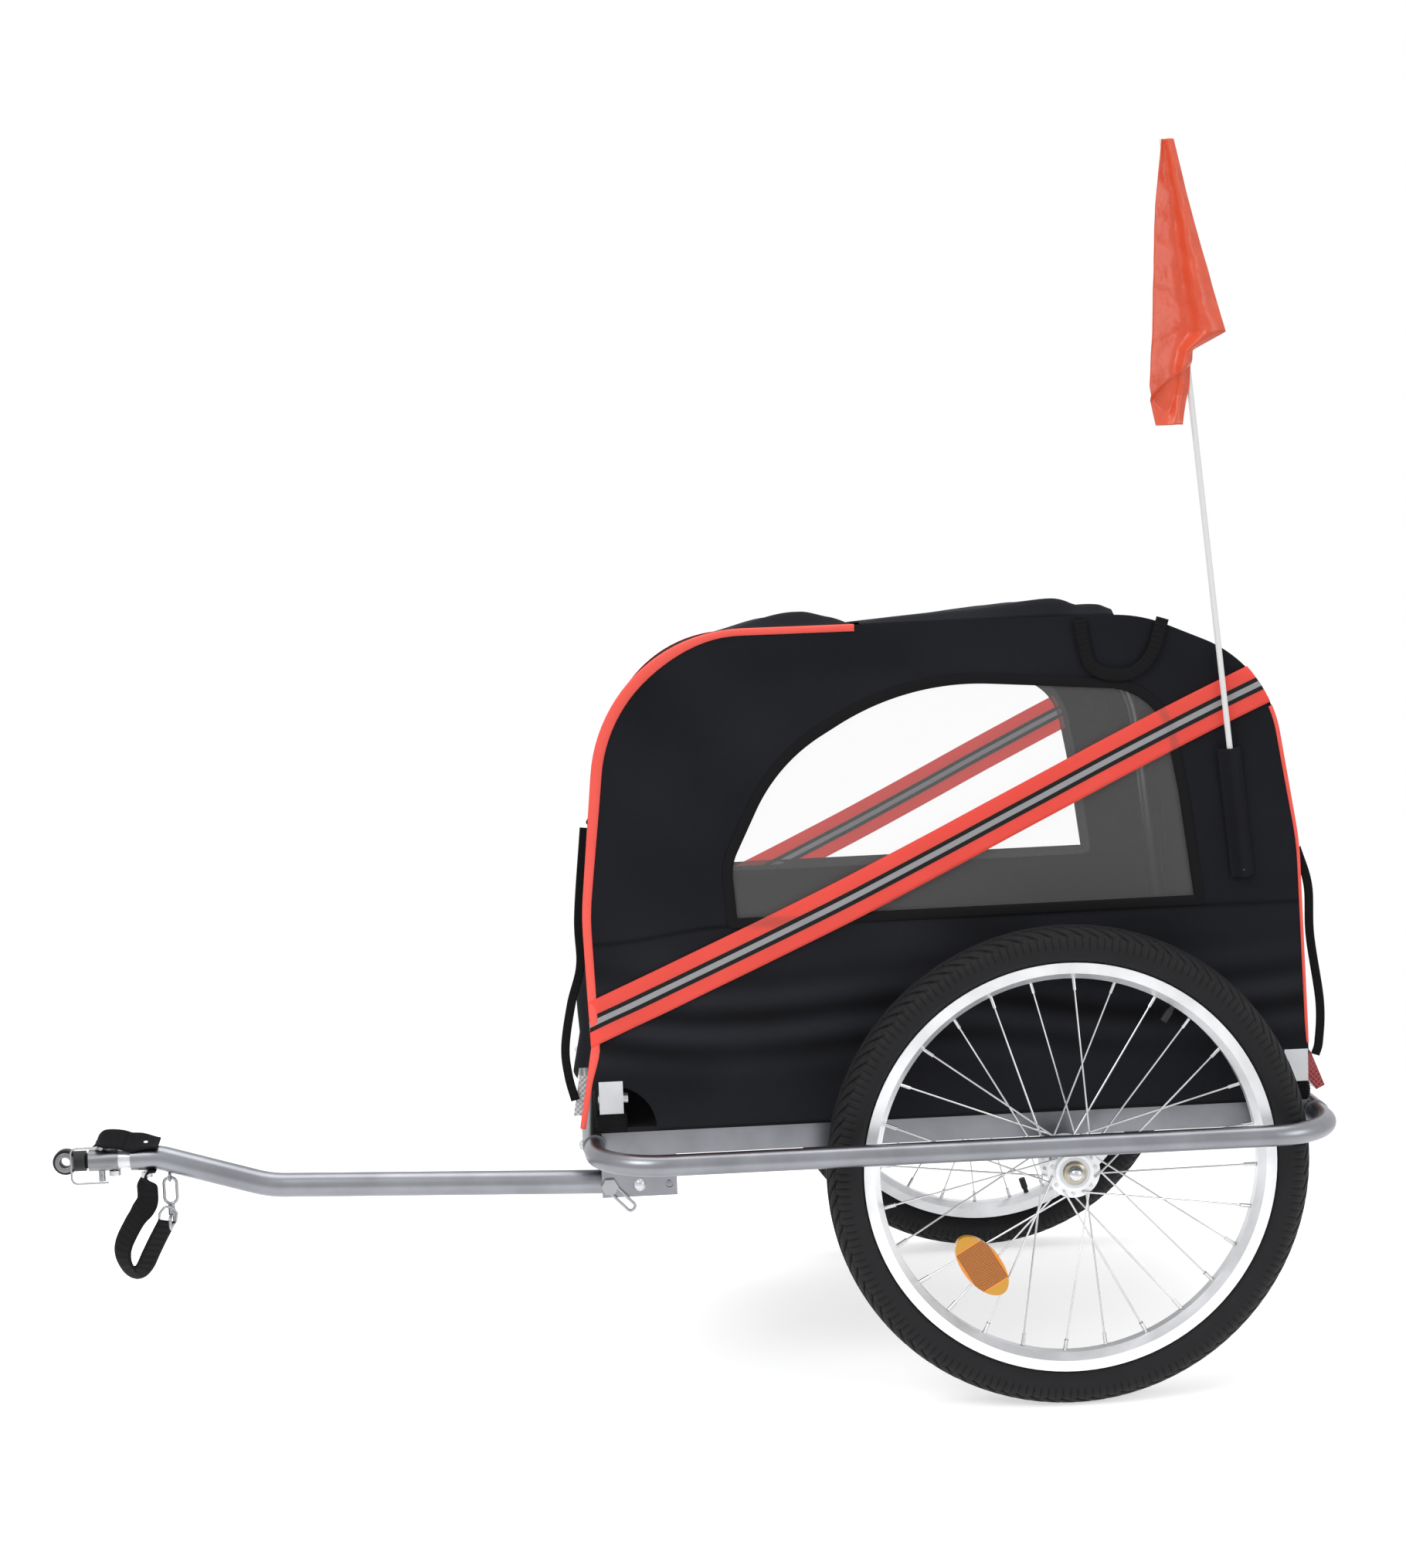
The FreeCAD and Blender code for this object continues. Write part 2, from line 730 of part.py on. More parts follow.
def make_cross_tube(tube_x):
    tube = hollow(vec(tube_x, -cross_half, frame_z), vec(tube_x, cross_half, frame_z), cross_r, cross_wall)
    screw_y = cross_half - guard_screw_inset
    return tube.cut([guard_screw_hole(tube_x, -screw_y), guard_screw_hole(tube_x, screw_y)])


def make_side_rail():
    cope = cross_r * rail_cope_share
    low_z = frame_z - rail_h / 2
    front = front_tube_x + cope
    rear = rear_tube_x - cope
    outer = box((front, -rail_outer_y, low_z), (rear, -rail_inner_y, rail_top))
    inner = box((front - overrun, rail_wall - rail_outer_y, low_z + rail_wall),
                (rear + overrun, -rail_inner_y - rail_wall, rail_top - rail_wall))
    copes = [rod(vec(x, -cross_half, frame_z), vec(x, 0, frame_z), cross_r + weld_gap)
             for x in (front_tube_x, rear_tube_x)]
    return outer.cut([inner] + copes)


def make_wheel_guard():
    root_y = guard_plug - cross_half
    points = [vec(front_tube_x, root_y, frame_z), vec(front_tube_x, -guard_y, frame_z),
              vec(rear_tube_x, -guard_y, frame_z), vec(rear_tube_x, root_y, frame_z)]
    bends = [guard_bend_r, guard_bend_r]
    tube = pipe(points, bends, guard_r).cut(pipe(points, bends, guard_r - guard_wall))
    screw_y = guard_screw_inset - cross_half
    return tube.cut([guard_screw_hole(front_tube_x, screw_y), guard_screw_hole(rear_tube_x, screw_y)])


def make_guard_screws():
    screws = []
    for tube_x in (front_tube_x, rear_tube_x):
        for side in (-1, 1):
            outer, way = guard_screw_line(tube_x, side * (cross_half - guard_screw_inset))
            seat = outer.sub(way * weld_gap)
            tip = outer.add(way * (cross_wall + guard_wall + guard_screw_tail))
            head = dome(seat, way * -1, guard_screw_head_r, guard_screw_dome)
            screws.append(rod(seat, tip, guard_screw_r).fuse(head))
    return screws


def hinge_places(side):
    """X of the front and rear hinge, outward way along X, for one side (-1 is left)."""
    nest = 0 if side == -1 else hoop_nest
    return [(hoop_front_x + nest, -1), (hoop_rear_x - nest, 1)]


# Floor: a board on the rails, notched round the hinge posts
def make_floor_board():
    front = front_tube_x + cross_r + floor_edge_gap
    rear = rear_tube_x - cross_r - floor_edge_gap
    half = rail_outer_y - floor_edge_gap
    board = box((front, -half, rail_top), (rear, half, rail_top + floor_t))
    notches = []
    for side in (-1, 1):
        for x, way in hinge_places(side):
            room = bracket_half + floor_notch_gap
            inner = side * (rail_inner_y - floor_notch_gap)
            outer = side * (rail_outer_y + overrun)
            notches.append(box((x - room, min(inner, outer), rail_top - overrun),
                               (x + room, max(inner, outer), rail_top + floor_t + overrun)))
    return board.cut(notches)


# Hinge brackets: a post on the rail under a channel that is open to the inside
def make_hinge_bracket(x, side):
    foot_z = hinge_z - bracket_below
    top_z = hinge_z + bracket_above
    web_out = -bracket_web_y - bracket_t
    mouth = hoop_r - hoop_y
    post_y = -(rail_outer_y + rail_inner_y) / 2
    post = box((x - post_w / 2, post_y - post_w / 2, rail_top), (x + post_w / 2, post_y + post_w / 2, foot_z))
    shell = box((x - bracket_half, web_out, foot_z), (x + bracket_half, mouth, top_z))
    room = bracket_half - bracket_t
    hollow_out = box((x - room, -bracket_web_y, foot_z + bracket_t),
                     (x + room, mouth + overrun, top_z + overrun))
    reach = bracket_half + overrun
    hole = rod(vec(x - reach, -hoop_y, hinge_z), vec(x + reach, -hoop_y, hinge_z), hinge_bolt_r + run_fit)
    bracket = post.fuse(shell.cut(hollow_out)).cut(hole)
    return bracket if side == -1 else bracket.mirror(vec(0, 0, 0), vec(0, 1, 0))


def make_hinge_bolt(x, way, side):
    y = side * hoop_y
    seat = vec(x + way * (bracket_half + weld_gap), y, hinge_z)
    nut_seat = vec(x - way * (bracket_half + weld_gap), y, hinge_z)
    nut_end = vec(nut_seat.x - way * hinge_nut_h, y, hinge_z)
    head_end = vec(seat.x + way * hinge_bolt_head_t, y, hinge_z)
    head = rod(seat, head_end, hinge_bolt_head_r)
    return rod(head_end, nut_end, hinge_bolt_r).fuse([head, rod(nut_seat, nut_end, hinge_nut_r)])


# Hoops: inverted U tubes with a rounded foot on each hinge bolt; the right one nests inside
def hoop_line(side, foot_z):
    across = 0 if side == -1 else 1
    top, bends = offset(cabin_line(across), cabin_bends(across), hoop_top_inset)
    (front_x, way), (rear_x, way) = hinge_places(side)
    knee_z = hinge_z + hoop_foot_rise
    points = [(front_x, foot_z), (front_x, top[1][1])] + top[2:5] + [(rear_x, knee_z), (rear_x, foot_z)]
    radii = [hoop_front_bend_r] + bends[1:4] + [hoop_foot_bend_r]
    return [vec(x, side * hoop_y, z) for x, z in points], radii


def make_hoop(side):
    points, radii = hoop_line(side, hinge_z)
    inner_points, radii = hoop_line(side, hinge_z + hoop_plug)
    tube = pipe(points, radii, hoop_r)
    bore = pipe(inner_points, radii, hoop_r - hoop_wall)
    eyes = []
    holes = []
    for foot in (points[0], points[-1]):
        half = vec(hoop_r * hoop_eye_share, 0, 0)
        reach = vec(hoop_r + overrun, 0, 0)
        eyes.append(rod(foot.sub(half), foot.add(half), hoop_r))
        holes.append(rod(foot.sub(reach), foot.add(reach), hinge_bolt_r + run_fit))
    return tube.fuse(eyes).cut([bore] + holes)


# Cabin fabric: across is 0 at the left side and 1 at the right, which is smaller by hoop_nest all round
def on_cabin(share, across):
    nest = hoop_nest * across
    return (cabin_front_x + nest + share[0] * (cabin_length - nest - nest),
            hem_z + share[1] * (cabin_height - nest))


def cabin_line(across):
    return [on_cabin(share, across) for share in cabin_shares]


def cabin_bends(across):
    return run_bends(cabin_line(across), cabin_bend_shares)


def window_line(across):
    return [on_cabin(share, across) for share in window_shares]


def across_at(y):
    return (y / sheet_half + 1) / 2


def at_height(a, b, z):
    """The point of the line a to b at a height."""
    return (a[0] + (b[0] - a[0]) * (z - a[1]) / (b[1] - a[1]), z)


def split_at(line, start, share, across, drop):
    """The point of one run of the outline at a share of the height, lowered by drop."""
    return at_height(line[start], line[start + 1], on_cabin((0, share), across)[1] - drop)


def window_plate(across, grow, y_from, y_to):
    """The window's outline, larger by grow on every side."""
    line = window_line(across)
    points, bends = offset(line, run_bends(line, window_bend_shares), -grow)
    points[0] = (points[0][0], points[0][1] - grow)
    points[-1] = (points[-1][0], points[-1][1] - grow)
    return plate(points, bends, y_from, y_to)


def make_side_panel(side):
    across = 0 if side == -1 else 1
    panel = plate(cabin_line(across), cabin_bends(across), -panel_out, -panel_in)
    arches = [rod(vec(x, -panel_out - overrun, hem_z), vec(x, overrun - panel_in, hem_z), arch_r)
              for x, way in hinge_places(side)]
    hole = window_plate(across, 0, -panel_out - overrun, overrun - panel_in)
    return panel.cut([hole] + arches)


def make_window(across):
    return window_plate(across, film_overlap, -sheet_half, film_t - sheet_half)


def make_binding(across):
    half = binding_w / 2
    outer = window_plate(across, half, -tape_in - tape_t, -tape_in)
    return outer.cut(window_plate(across, -half, -tape_in - tape_t - overrun, overrun - tape_in))


def make_stripe(across):
    start = on_cabin(stripe_shares[0], across)
    end = on_cabin(stripe_shares[1], across)
    half = stripe_w / 2
    band = ribbon([start, end], [], -half, half, -stripe_in - tape_t, -stripe_in)
    return band.common(plate(cabin_line(across), cabin_bends(across), -stripe_in - tape_t, -stripe_in))


def make_piping(side):
    across = 0 if side == -1 else 1
    line = cabin_line(across)
    bends = cabin_bends(across)
    top_end = on_cabin((piping_top_share, 1), across)
    rear_top = split_at(line, rear_run, rear_split_share, across, 0)
    front = ribbon(line[:3] + [top_end], bends[:2], 0, piping_w, -tape_in - tape_t, -tape_in)
    rear = ribbon([rear_top] + line[5:], bends[4:], 0, rear_piping_w, -tape_in - tape_t, -tape_in)
    arches = [rod(vec(x, -tape_in - tape_t - overrun, hem_z), vec(x, overrun - tape_in, hem_z), arch_r)
              for x, way in hinge_places(side)]
    return [front.cut(arches), rear.cut(arches)]


def rear_corner_cuts():
    """Room at the foot of the rear panel for the hinge brackets."""
    cuts = []
    for side in (-1, 1):
        inner = side * (sheet_half - corner_cut_w)
        outer = side * (sheet_half + overrun)
        cuts.append(box((hoop_rear_x - hoop_nest, min(inner, outer), hem_z - overrun),
                        (hoop_rear_x + arch_r, max(inner, outer), hem_z + corner_cut_h)))
    return cuts


def sheet(profile, half):
    """A sheet from side to side; profile gives its outline at a share of the way across."""
    wires = []
    for way in (-1, 1):
        wire = Part.Wire(Part.__sortEdges__(profile(across_at(way * half))))
        wires.append(wire.translated(vec(0, way * half, 0)))
    return Part.makeLoft(wires, True, True)


def roof_edges(across):
    line = cabin_line(across)
    start = split_at(line, front_run, front_split_share, across, 0)
    end = split_at(line, rear_run, rear_split_share, across, 0)
    return ribbon_edges([start] + line[2:5] + [end], cabin_bends(across)[1:4], 0, cloth_t)


def hem_cord_at(across, y):
    """Middle of the cord in the roof's front hem, which the door turns about."""
    x, z = split_at(cabin_line(across), front_run, front_split_share, across, 0)
    return vec(x + cloth_t / 2, y, z)


def make_roof_panel():
    cord = rod(hem_cord_at(0, -sheet_half), hem_cord_at(1, sheet_half), hem_cord_r)
    return sheet(roof_edges, sheet_half).fuse(cord)


def rear_edges(across):
    line = cabin_line(across)
    start = split_at(line, rear_run, rear_split_share, across, layer_gap)
    sill = at_height(line[5], line[6], hem_z + sill_gap)
    return ribbon_edges([start, line[5], sill], cabin_bends(across)[4:], 0, cloth_t)


def make_rear_panel():
    return sheet(rear_edges, sheet_half).cut(rear_corner_cuts())


def door_edges(across):
    line = cabin_line(across)
    sill_z = hem_z + sill_gap
    sill = (door_face_x(sill_z, across), sill_z)
    knee = at_height(line[0], line[1], sill_z + door_kick_h)
    end = split_at(line, front_run, front_split_share, across, hem_cord_r + layer_gap)
    return ribbon_edges([sill, knee, line[1], end], [door_kick_bend_r] + cabin_bends(across)[:1], 0, cloth_t)


def make_front_door():
    return sheet(door_edges, sheet_half)


def rain_cover_edges(across):
    points = []
    for x, z in rain_cover_shares:
        foot = on_cabin((rain_cover_start_share + x * rain_cover_length_share, 1), across)
        points.append((foot[0], foot[1] + layer_gap + z * rain_cover_h))
    line = flat_points(points)
    bends = [share * rain_cover_h for share in rain_cover_bend_shares]
    return bend_path(line, bends) + [Part.makeLine(line[-1], line[0])]


def make_rain_cover():
    return sheet(rain_cover_edges, rain_cover_y)


# Flag: a pocket on the side panel, a leaning pole and a limp pennant with upright folds
def pole_way():
    lean = math.radians(pole_lean_deg)
    return vec(math.sin(lean), 0, math.cos(lean))


def pole_y():
    return -stripe_in - tape_t - layer_gap - pole_r - pocket_wall


def pocket_foot():
    x, z = on_cabin(pocket_share, 0)
    return vec(x, pole_y(), z)


def make_flag_pocket():
    foot = pocket_foot()
    deep = pole_r + pole_fit + pocket_wall
    inner_y = -tape_in - pole_y()
    sleeve = box((-pocket_w / 2, -deep, 0), (pocket_w / 2, inner_y, pocket_h))
    bore = rod(vec(0, 0, pole_sole - layer_gap), vec(0, 0, pocket_h + overrun), pole_r + pole_fit)
    pocket = sleeve.cut(bore).rotated(vec(0, 0, 0), vec(0, 1, 0), pole_lean_deg)
    return pocket.translated(foot)


def pole_foot():
    return pocket_foot().add(pole_way() * pole_sole)


def make_flag_pole():
    foot = pole_foot()
    return rod(foot, foot.add(pole_way() * pole_len), pole_r)


def make_pennant():
    top = pole_foot().add(pole_way() * pole_len)
    back_y = pole_y() - pole_r - pennant_gap
    wires = []
    for drop, folds in pennant_section_shares:
        z = top.z - drop * pennant_h
        back = [vec(top.x + x * pennant_w, back_y - y * pennant_depth, z) for x, y in folds]
        front = [vec(p.x, p.y - pennant_t, z) for p in reversed(back)]
        wires.append(Part.makePolygon(back + front + [back[0]]))
    return Part.makeLoft(wires, True, True)


# Slack tie straps and the reflectors at the cabin's ends
def tie_strap(shares, face_x, way, bulge, end_shares):
    """A thin strap that hangs edge-on before an end panel and is sewn to it at both ends."""
    half = tie_strap_w / 2
    across = across_at(-tie_strap_y - strap_t / 2)
    top_z, foot_z = [hem_z + share * cabin_height for share in end_shares]
    heights = [top_z + s * (foot_z - top_z) for b, s in shares]
    reaches = [b * bulge + half + layer_gap for b, s in shares]
    points = [(face_x(z, across) + way * reach, z) for z, reach in zip(heights, reaches)]
    bends = [strap_bend_r] * len(points[2:])
    return ribbon(points, bends, -half, half, -tie_strap_y - strap_t / 2, strap_t / 2 - tie_strap_y)


def front_face_x(z, across):
    line = cabin_line(across)
    a, b = line[:2] if z < line[1][1] else line[1:3]
    return at_height(a, b, z)[0]


def rear_face_x(z, across):
    line = cabin_line(across)
    a, b = line[5:] if z < line[5][1] else line[4:6]
    return at_height(a, b, z)[0]


def door_face_x(z, across):
    """The door leaves the outline at its foot and kicks forward over the cross tube."""
    fall = max(0, hem_z + sill_gap + door_kick_h - z) / door_kick_h
    return front_face_x(z, across) - door_kick * fall


def make_front_tie_strap():
    return tie_strap(front_strap_shares, front_face_x, -1, front_strap_bulge, front_strap_end_shares)


def make_rear_tie_strap():
    return tie_strap(rear_strap_shares, rear_face_x, 1, rear_strap_bulge, rear_strap_end_shares)


def front_lens_x(z):
    return door_face_x(z, across_at(-reflector_y - reflector_w)) - layer_gap


def rear_lens_x():
    """X of the rear panel where the rear reflector hangs, at its most rearward place."""
    return rear_face_x(rear_reflector_z + reflector_h / 2, across_at(-reflector_y - reflector_w)) + layer_gap


def lens(points):
    edges = [Part.makeLine(a, b) for a, b in zip(flat_points(points), flat_points(points[1:] + points[:1]))]
    return slab(edges, -reflector_y - reflector_w, -reflector_y)


def make_front_reflector():
    """A flat lens along the kicked foot of the door."""
    foot_z = front_reflector_z
    top_z = foot_z + reflector_h
    return lens([(front_lens_x(foot_z), foot_z), (front_lens_x(top_z), top_z),
                 (front_lens_x(top_z) - reflector_t, top_z), (front_lens_x(foot_z) - reflector_t, foot_z)])


def make_rear_reflector():
    """A lens on a wedge that hangs from the rear panel and leans out at its foot."""
    back = rear_lens_x()
    foot_z = rear_reflector_z
    top_z = foot_z + reflector_h
    face = back + reflector_t
    return lens([(back, top_z - reflector_h / 2), (back, top_z), (face, top_z),
                 (face + reflector_lean, foot_z + reflector_t / 2), (back + reflector_lean, foot_z)])


# Drawbar: a bent tube that turns under its bracket, with an eye for the safety hook
def on_drawbar(x, z):
    return vec(x, -drawbar_y, z)


def across_drawbar(x, z, reach, r):
    return rod(vec(x, -drawbar_y - reach, z), vec(x, reach - drawbar_y, z), r)


def drawbar_line():
    slope = drawbar_bend_rise / (pivot_x - drawbar_bend_x)
    points = [on_drawbar(pivot_x + drawbar_tail, pivot_z - drawbar_tail * slope),
              on_drawbar(drawbar_bend_x, pivot_z + drawbar_bend_rise),
              on_drawbar(drawbar_nose_bend_x, hitch_z), on_drawbar(drawbar_nose_x, hitch_z)]
    return points, [drawbar_bend_r, drawbar_nose_bend_r]


def drawbar_at(x):
    """Height of the drawbar's middle between its two bends."""
    share = (x - drawbar_bend_x) / (drawbar_nose_bend_x - drawbar_bend_x)
    return pivot_z + drawbar_bend_rise + share * (drawbar_nose_rise - drawbar_bend_rise)


def hook_eye_z():
    rise = math.atan2(drawbar_nose_rise - drawbar_bend_rise, drawbar_bend_x - drawbar_nose_bend_x)
    return drawbar_at(hook_x) - drawbar_r / math.cos(rise) - eye_ring_r


def make_drawbar_tube():
    points, bends = drawbar_line()
    tube = pipe(points, bends, drawbar_r).cut(pipe(points, bends, drawbar_r - drawbar_wall))
    reach = drawbar_r + overrun
    slope = drawbar_bend_rise / (pivot_x - drawbar_bend_x)
    holes = [across_drawbar(pivot_x, pivot_z, reach, pivot_bolt_r + run_fit),
             across_drawbar(pivot_x - lock_spacing, pivot_z + lock_spacing * slope, reach, lock_hole_r)]
    holes.append(upright(strap_bolt_x, drawbar_r + overrun, strap_bolt_r + run_fit))
    eye = Part.makeTorus(eye_ring_r, eye_wire_r, on_drawbar(hook_x, hook_eye_z()), vec(1, 0, 0))
    return tube.fuse(eye).cut(holes)


def make_drawbar_bracket():
    inner = drawbar_r + clevis_play
    outer = inner + clevis_t
    front = pivot_x - clevis_len / 2
    rear = pivot_x + clevis_len / 2
    low_z = pivot_z - clevis_below
    top_z = frame_z - rail_h / 2
    shell = box((front, -drawbar_y - outer, low_z), (rear, outer - drawbar_y, top_z))
    room = box((front - overrun, -drawbar_y - inner, low_z - overrun),
               (rear + overrun, inner - drawbar_y, top_z - clevis_t))
    reach = outer + overrun
    holes = [across_drawbar(pivot_x, pivot_z, reach, pivot_bolt_r + run_fit)]
    for way in (-1, 1):
        holes.append(across_drawbar(pivot_x + way * lock_spacing, pivot_z, reach, lock_pin_r + run_fit))
    return shell.cut([room] + holes)


def make_pivot_bolt():
    ear = drawbar_r + clevis_play + clevis_t + weld_gap
    near = vec(pivot_x, -drawbar_y - ear, pivot_z)
    far = vec(pivot_x, ear - drawbar_y, pivot_z)
    nut_end = vec(pivot_x, far.y + pivot_head_h, pivot_z)
    head = dome(near, vec(0, -1, 0), pivot_head_r, pivot_head_h)
    return rod(near, nut_end, pivot_bolt_r).fuse([head, rod(far, nut_end, pivot_head_r)])


# Lock pin: a short plunger in the near ear, with a six-sided head and a long link to pull
def hex_rod(start, end, r):
    turns = [math.radians(60 * corner) for corner in range(6)]
    line = [vec(start.x + r * math.cos(turn), start.y, start.z + r * math.sin(turn)) for turn in turns]
    return Part.Face(Part.makePolygon(line + [line[0]])).extrude(end.sub(start))


def make_lock_pin():
    x = pivot_x - lock_spacing
    ear_in = -drawbar_y - drawbar_r - clevis_play
    ear_out = ear_in - clevis_t - weld_gap
    head_out = ear_out - lock_pin_head_t
    shaft = rod(vec(x, head_out, pivot_z), vec(x, ear_in, pivot_z), lock_pin_r)
    head = hex_rod(vec(x, head_out, pivot_z), vec(x, ear_out, pivot_z), lock_pin_head_r)
    lean = math.radians(pull_link_deg)
    along = vec(math.cos(lean), 0, math.sin(lean))
    aside = vec(-along.z, 0, along.x) * (pull_link_w / 2)
    start = vec(x, ear_out - lock_pin_head_t / 2, pivot_z)
    end = start.add(along * pull_link_len)
    link = pipe_loop([start.sub(aside), end.sub(aside), end.add(aside), start.add(aside)],
                     pull_link_bend_r, pull_link_wire_r)
    return shaft.fuse([head, link])


# Hitch: an inner tube in the drawbar's nose, a sleeve, and an eye plate pinned in the sleeve
def upright(x, reach, r):
    return rod(on_drawbar(x, hitch_z - reach), on_drawbar(x, hitch_z + reach), r)


def make_hitch_inner_tube():
    rear = drawbar_nose_x + hitch_plug_inset
    front = hitch_inner_front_x
    tube = hollow(on_drawbar(rear, hitch_z), on_drawbar(front, hitch_z), hitch_inner_r, sleeve_wall)
    reach = sleeve_r + overrun
    return tube.cut([upright(hitch_bolt_x, reach, hitch_bolt_r + run_fit),
                     upright(strap_bolt_x, reach, strap_bolt_r + run_fit)])


def make_hitch_sleeve():
    rear = on_drawbar(sleeve_rear_x, hitch_z)
    tube = hollow(rear, on_drawbar(sleeve_front_x, hitch_z), sleeve_r, sleeve_wall)
    reach = sleeve_r + overrun
    return tube.cut([upright(hitch_bolt_x, reach, hitch_bolt_r + run_fit),
                     upright(hitch_pin_x, reach, hitch_pin_r + run_fit)])


def upright_bolt(x, r, top, foot):
    """A bolt through the hitch from a dome above to a nut below."""
    high = on_drawbar(x, hitch_z + top)
    low = on_drawbar(x, hitch_z - foot)
    nut_end = on_drawbar(x, hitch_z - foot - bolt_nut_h)
    head = dome(high, vec(0, 0, 1), bolt_head_r, bolt_head_h)
    return rod(nut_end, high, r).fuse([head, rod(nut_end, low, bolt_head_r)])


def make_hitch_bolts():
    wrap = strap_gap + web_t + weld_gap
    over_strap = strap_top_z() + web_t + weld_gap - hitch_z
    return [upright_bolt(hitch_bolt_x, hitch_bolt_r, over_strap, sleeve_r + weld_gap),
            upright_bolt(strap_bolt_x, strap_bolt_r, drawbar_r + wrap, drawbar_r + wrap)]


def neck_box(grow):
    """The flat neck of the hitch plate, from the eye to the end of its tail."""
    half = plate_t / 2 + grow
    return box((eye_x, -drawbar_y - half, hitch_z - neck_h / 2 - grow),
               (hitch_pin_x + hitch_tail_end, half - drawbar_y, hitch_z + neck_h / 2 + grow))


def make_hitch_plate():
    half = plate_t / 2
    disc = across_drawbar(eye_x, hitch_z, half, eye_outer_r)
    plate_shape = disc.fuse(neck_box(0))
    eye = across_drawbar(eye_x, hitch_z, half + overrun, eye_r)
    return plate_shape.cut([eye, upright(hitch_pin_x, neck_h, hitch_pin_r + run_fit)]).removeSplitter()


def make_hitch_knuckle():
    body = rod(on_drawbar(knuckle_front_x, hitch_z), on_drawbar(knuckle_rear_x, hitch_z), knuckle_r)
    disc = across_drawbar(eye_x, hitch_z, plate_t / 2 + weld_gap, eye_outer_r + weld_gap)
    return body.cut([neck_box(weld_gap), disc])


def make_hitch_lock_pin():
    top = on_drawbar(hitch_pin_x, hitch_z + hitch_pin_above)
    head_top = on_drawbar(hitch_pin_x, top.z + hitch_pin_head_t)
    shaft = rod(on_drawbar(hitch_pin_x, hitch_z - hitch_pin_below), head_top, hitch_pin_r)
    head = rod(top, head_top, hitch_pin_head_r)
    side_y = -drawbar_y - wire_side
    front_x = hitch_pin_x - wire_front
    loop = [vec(hitch_pin_x, -drawbar_y, hitch_z + wire_top), vec(hitch_pin_x, side_y, hitch_z + wire_top),
            vec(front_x, side_y, hitch_z + wire_top), vec(front_x, side_y, hitch_z - wire_foot),
            vec(hitch_pin_x + wire_front / 3, side_y, hitch_z - wire_foot)]
    post = rod(head_top, on_drawbar(hitch_pin_x, hitch_z + wire_top + wire_r), hitch_pin_r)
    wire = pipe(loop, [wire_bend_r] * 3, wire_r)
    return shaft.fuse([head, post, wire])


# Safety strap: a flat piece over the hitch and a hanging loop that ends at the snap hook
def strap_top_z():
    return hitch_z + drawbar_r + strap_gap


def make_safety_strap():
    half = strap_w / 2
    over = box((strap_top_front_x, -drawbar_y - half, strap_top_z()),
               (strap_top_rear_x, half - drawbar_y, strap_top_z() + web_t))
    root_z = hitch_z - drawbar_r - strap_gap - web_t / 2
    route = [(x, root_z + z) for x, z in strap_route]
    loop = ribbon(route, strap_bends, -web_t / 2, web_t / 2, -drawbar_y - half, half - drawbar_y)
    reach = drawbar_r + strap_gap + web_t + overrun
    hole = upright(strap_bolt_x, reach, strap_bolt_r + strap_gap)
    bolt_hole = upright(hitch_bolt_x, reach, hitch_bolt_r + strap_gap)
    return [over.cut([hole, bolt_hole]), loop.cut(hole)]


def make_snap_hook():
    top_z = hook_eye_z() - (eye_ring_r - eye_wire_r - hook_wire_r - strap_gap)
    low_z = top_z - hook_h
    half = hook_w / 2
    left, right = hook_x - half, hook_x + half
    corners = [on_drawbar(left, top_z), on_drawbar(right, top_z),
               on_drawbar(right, low_z), on_drawbar(left, low_z)]
    loop = pipe_loop(corners, hook_bend_r, hook_wire_r)
    foot_z = low_z - hook_shank_len
    shank = rod(on_drawbar(hook_x, low_z), on_drawbar(hook_x, foot_z), hook_shank_r)
    wide = dring_w / 2
    ring = pipe_loop([vec(hook_x, -drawbar_y - wide, foot_z), vec(hook_x, wide - drawbar_y, foot_z),
                      vec(hook_x, wide - drawbar_y, foot_z - dring_h),
                      vec(hook_x, -drawbar_y - wide, foot_z - dring_h)], dring_bend_r, dring_wire_r)
    return loop.fuse([shank, ring])


